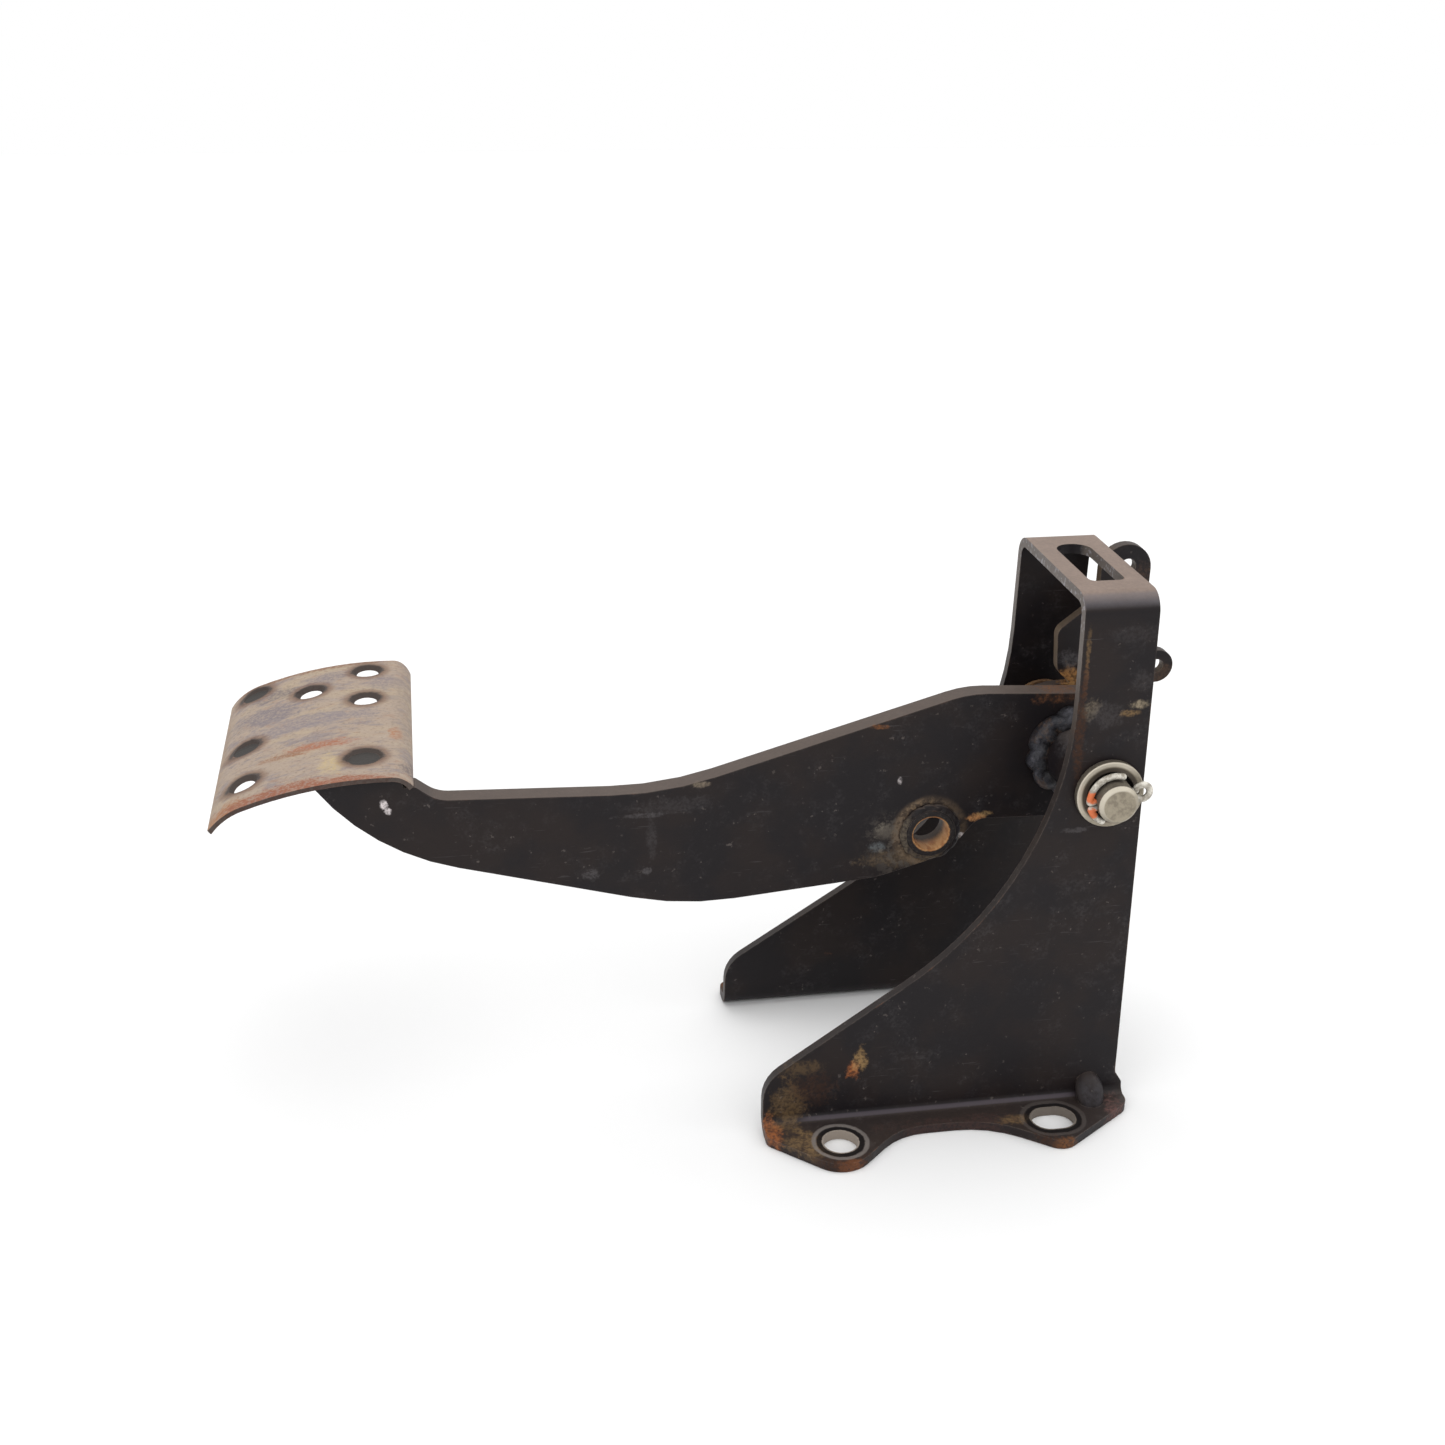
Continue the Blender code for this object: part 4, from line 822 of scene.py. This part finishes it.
def eased(node, name, width, segments=2, angle=28.0):
    """A CAD node's own shape with its sharp edges broken by a small round."""
    mesh = frame["nodes"][node].data.copy()
    shape = bmesh.new()
    shape.from_mesh(mesh)
    bmesh.ops.remove_doubles(shape, verts=shape.verts, dist=2e-6)
    bmesh.ops.dissolve_limit(shape, angle_limit=math.radians(0.6), verts=shape.verts,
                             edges=shape.edges)
    shape.to_mesh(mesh)
    shape.free()
    mesh.materials.clear()
    mesh.shade_smooth()
    piece = bpy.data.objects.new(name, mesh)
    bpy.context.scene.collection.objects.link(piece)
    if width > 0.0:
        bevel = piece.modifiers.new("broken_edges", "BEVEL")
        bevel.width = width
        bevel.segments = segments
        bevel.limit_method = "ANGLE"
        bevel.angle_limit = math.radians(angle)
        bevel.miter_outer = "MITER_ARC"
        bevel.use_clamp_overlap = True
        weighted = piece.modifiers.new("even_shading", "WEIGHTED_NORMAL")
        weighted.keep_sharp = True
    else:
        mesh.set_sharp_from_angle(angle=math.radians(30.0))
    return piece


def show(piece, material, body, slot, *nodes):
    """Give a piece its material, let it ride on a body and stand for its CAD nodes."""
    piece.data.materials.clear()
    piece.data.materials.append(material)
    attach(piece, body)
    if nodes:
        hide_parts(*nodes)
    return piece


# ---------------------------------------------------------------- pieces

def add_plates():
    """The bracket, arm, lever and pad, each with its edges broken."""
    show(eased("pedal_bracket", "bracket_sheet", SHEET_EDGE), bracket_paint(), BRACKET,
         "bracket_paint", "pedal_bracket")
    show(eased("pedal_arm", "arm_plate", ARM_EDGE), arm_paint(), PEDAL, "pedal_paint",
         "pedal_arm")
    show(eased("spring_lever", "lever_plate", SHEET_EDGE), lever_paint(), PEDAL, "pedal_paint",
         "spring_lever")
    show(eased("pad_plate", "pad_sheet", SHEET_EDGE), pad_finish(), PEDAL, "worn_pad_steel",
         "pad_plate")


def add_hub():
    """The hub tube, its bushes and the welds that hold the arm and lever to it."""
    weld = weld_finish()
    low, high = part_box("hub_tube")
    axis = np.array((PIVOT[0], 0.0, PIVOT[2]))
    section = softened(low.y, high.y, TUBE_RADIUS - TUBE_WALL, TUBE_RADIUS, SOFT_EDGE)
    tube = turn("hub_sleeve", section, axis)
    # Painted highlight: a lighter grey patch on top of the tube's near part.
    patches = [((-12.9, -15.0, 134.0), (12.0, 9.0, 5.0), GREY_FILM, 0.4)]
    tube_paint = worn_paint("hub_black", patches, (EDGE_DUST, even_dust(0.55)))
    show(tube, tube_paint, PEDAL, "pedal_paint", "hub_tube")
    bronze = bush_finish("bush_bronze", BRONZE, (0.13, 0.065, 0.032))
    for node in ("near_bush", "far_bush"):
        show(eased(node, node + "_turned", BUSH_EDGE), bronze, PEDAL, "bush_bronze", node)
    for node, seed in (("hub_weld_near", 3), ("hub_weld_far", 8)):
        bead = weld_round(node, TUBE_RADIUS + WELD_PLAY, 9, 1.5 * MM, 2.9, seed)
        show(bead, weld, PEDAL, "painted_weld", node)
    for node, seed in (("lever_weld_near", 5), ("lever_weld_far", 6)):
        bead = weld_round(node, TUBE_RADIUS + WELD_PLAY, 15, 1.0 * MM, 2.4, seed)
        show(bead, weld, PEDAL, "painted_weld", node)
    return weld


def add_rod_bush():
    """The pushrod bush with a rusty bore, and the flat weld round each end."""
    low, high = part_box("pushrod_bush")
    outer = half_size("pushrod_bush")[0]
    axis = np.array((ROD[0], 0.0, ROD[2]))
    bore = outer - ROD_BUSH_WALL
    bush = turn("rod_bush_turned", softened(low.y, high.y, bore, outer, ROD_BUSH_EDGE), axis)
    show(bush, rod_bush_finish(bore), PEDAL, "rusty_steel", "pushrod_bush")

    rim = worn_paint("rod_weld_black", [
        ((-69.0, -5.0, 86.0), (9.0, 4.0, 4.0), (0.12, 0.09, 0.06), 0.5),
        ((-75.0, -5.0, 96.0), (3.0, 4.0, 9.0), (0.15, 0.12, 0.085), 0.5)], (EDGE_DUST, even_dust(0.7)))
    for node, seed in (("pushrod_weld_near", 4), ("pushrod_weld_far", 9)):
        bead = weld_round(node, outer + WELD_PLAY, 12, 0.45 * MM, 2.2, seed)
        show(bead, rim, PEDAL, "painted_weld", node)


def add_pad_weld(weld):
    """The bead under the pad keeps its own run, shaded smooth."""
    piece = eased("pad_weld", "run_pad_weld", 0.0)
    piece.data.shade_smooth()
    show(piece, weld, PEDAL, "painted_weld", "pad_weld")


def split_pin_path():
    """The split pin's centre line in its own plane, as (along, across) points in mm.

    A long leg curls back over the pivot pin, a straight leg runs through it to the eye, and
    the second leg comes back and curls down.  Arcs are sampled and the whole is smoothed.
    """
    def arc(radius, start, end, centre=0.0):
        angle = np.radians(np.linspace(start, end, 1 + int(abs(end - start) / 4.0)))
        return np.stack([centre + radius * np.cos(angle), radius * np.sin(angle)], -1)

    def line(start, end, count=40):
        return np.linspace(start, end, count)

    curl, gap, eye, eye_at = 8.7, 1.2, 2.7, 9.9
    path = np.vstack([arc(curl, 62.0, 172.0), line((-8.7, gap), (8.0, gap)),
                      arc(eye, 150.0, -150.0, eye_at), line((8.0, -gap), (-8.7, -gap)),
                      arc(curl, 188.0, 232.0)])
    steps = np.concatenate([[0.0], np.cumsum(np.linalg.norm(np.diff(path, axis=0), axis=1))])
    even = np.arange(0.0, steps[-1], 0.25)
    path = np.stack([np.interp(even, steps, path[:, k]) for k in (0, 1)], -1)
    kernel = np.hanning(9) / np.hanning(9).sum()
    smooth = np.stack([np.convolve(path[:, k], kernel, "same") for k in (0, 1)], -1)
    path[4:-4] = smooth[4:-4]
    return path


def add_pin():
    """The pivot pin, its washer and the split pin."""
    pin_zinc = zinc_finish("dull_zinc", ring=PIN_CHAMFER_HIGHLIGHT_RADII)
    show(eased("pivot_pin", "pin_turned", PIN_EDGE), pin_zinc, BRACKET, "dull_zinc", "pivot_pin")
    washer_zinc = zinc_finish("washer_zinc", ring=WASHER_HIGHLIGHT_RADII, shadow_inside=True)
    show(eased("pin_washer", "washer_plain", WASHER_EDGE), washer_zinc, BRACKET, "dull_zinc",
         "pin_washer")
    flat = split_pin_path()
    along, across = flat[:, 0] * MM, flat[:, 1] * MM
    cos, sin = math.cos(SPLIT_PIN_LEAN), math.sin(SPLIT_PIN_LEAN)
    path = np.stack([PIVOT[0] + along * cos - across * sin,
                     np.full(len(flat), middle("cotter_pin")[1]),
                     PIVOT[2] + along * sin + across * cos], -1)
    wire = tube_along("split_pin", path, WIRE_RADIUS, WIRE_HALF_THICK)
    bends = (((-21.0, -44.3, 126.4), (2.4, 4.0, 2.3)), ((-20.8, -44.3, 120.4), (2.4, 4.0, 2.3)))
    wire_zinc = zinc_finish("split_pin_zinc", bends, tone=BRIGHT_ZINC)
    show(wire, wire_zinc, BRACKET, "dull_zinc", "cotter_pin")


# ---------------------------------------------------------------- camera, lights and floor

def add_camera():
    """The camera stands above the pad's side and looks down along the pivot pin."""
    data = bpy.data.cameras.new("view")
    data.sensor_width = 36.0
    data.lens = CAMERA_LENS
    data.clip_start = 0.01
    data.clip_end = 20.0
    camera = bpy.data.objects.new("view", data)
    bpy.context.scene.collection.objects.link(camera)
    down, side, roll = (math.radians(a) for a in CAMERA_TURNS)
    ahead = Vector((math.sin(side) * math.cos(down), math.cos(side) * math.cos(down), -math.sin(down)))
    level = Vector((math.cos(side), -math.sin(side), 0.0))
    above = level.cross(ahead)
    right = level * math.cos(roll) + above * math.sin(roll)
    up = above * math.cos(roll) - level * math.sin(roll)
    turned = Matrix((right, up, -ahead)).transposed().to_4x4()
    camera.matrix_world = Matrix.Translation(CAMERA_PLACE) @ turned
    bpy.context.scene.camera = camera


def add_light(name, place, target, size, power, colour=(1.0, 1.0, 1.0)):
    """A soft square light that faces a target."""
    data = bpy.data.lights.new(name, "AREA")
    data.size = size
    data.energy = power
    data.color = colour
    lamp = bpy.data.objects.new(name, data)
    bpy.context.scene.collection.objects.link(lamp)
    lamp.location = place
    lamp.rotation_euler = (Vector(target) - Vector(place)).to_track_quat("-Z", "Y").to_euler()


def add_studio():
    """A pale floor, an even white surround, a broad glow from above and three soft lights."""
    mesh = bpy.data.meshes.new("studio_floor")
    far = 3.0
    mesh.from_pydata([(-far, -far, 0.0), (far, -far, 0.0), (far, far, 0.0), (-far, far, 0.0)], [],
                     [(0, 1, 2, 3)])
    floor = bpy.data.objects.new("studio_floor", mesh)
    bpy.context.scene.collection.objects.link(floor)
    floor.location.z = -0.0002
    pale = Finish("floor_pale")
    tone = pale.noise(0.4, detail=2.0)
    pale.done(pale.mix((0.80, 0.80, 0.80), (0.84, 0.84, 0.84), tone), 0.7, 0.0, None)
    mesh.materials.append(pale.material)
    world = bpy.data.worlds.new("surround")
    world.use_nodes = True
    world.node_tree.nodes["Background"].inputs["Color"].default_value = (1.0, 1.0, 1.0, 1.0)
    world.node_tree.nodes["Background"].inputs["Strength"].default_value = 1.0
    bpy.context.scene.world = world
    bpy.context.scene.view_settings.view_transform = "Standard"
    glow = bpy.data.lights.new("even_glow", "SUN")
    glow.energy = 0.75
    glow.angle = math.radians(120.0)
    lamp = bpy.data.objects.new("even_glow", glow)
    bpy.context.scene.collection.objects.link(lamp)
    aim = (-0.12, 0.0, 0.08)
    add_light("overhead", (-0.15, 0.25, 1.15), aim, 0.9, 1.6)
    add_light("front_left", (-0.95, -0.75, 0.75), aim, 0.6, 1.6)
    add_light("right_rim", (0.95, -0.25, 0.65), aim, 0.5, 1.2)


add_camera()
add_plates()
weld_metal = add_hub()
add_rod_bush()
add_pad_weld(weld_metal)
add_pin()
add_studio()
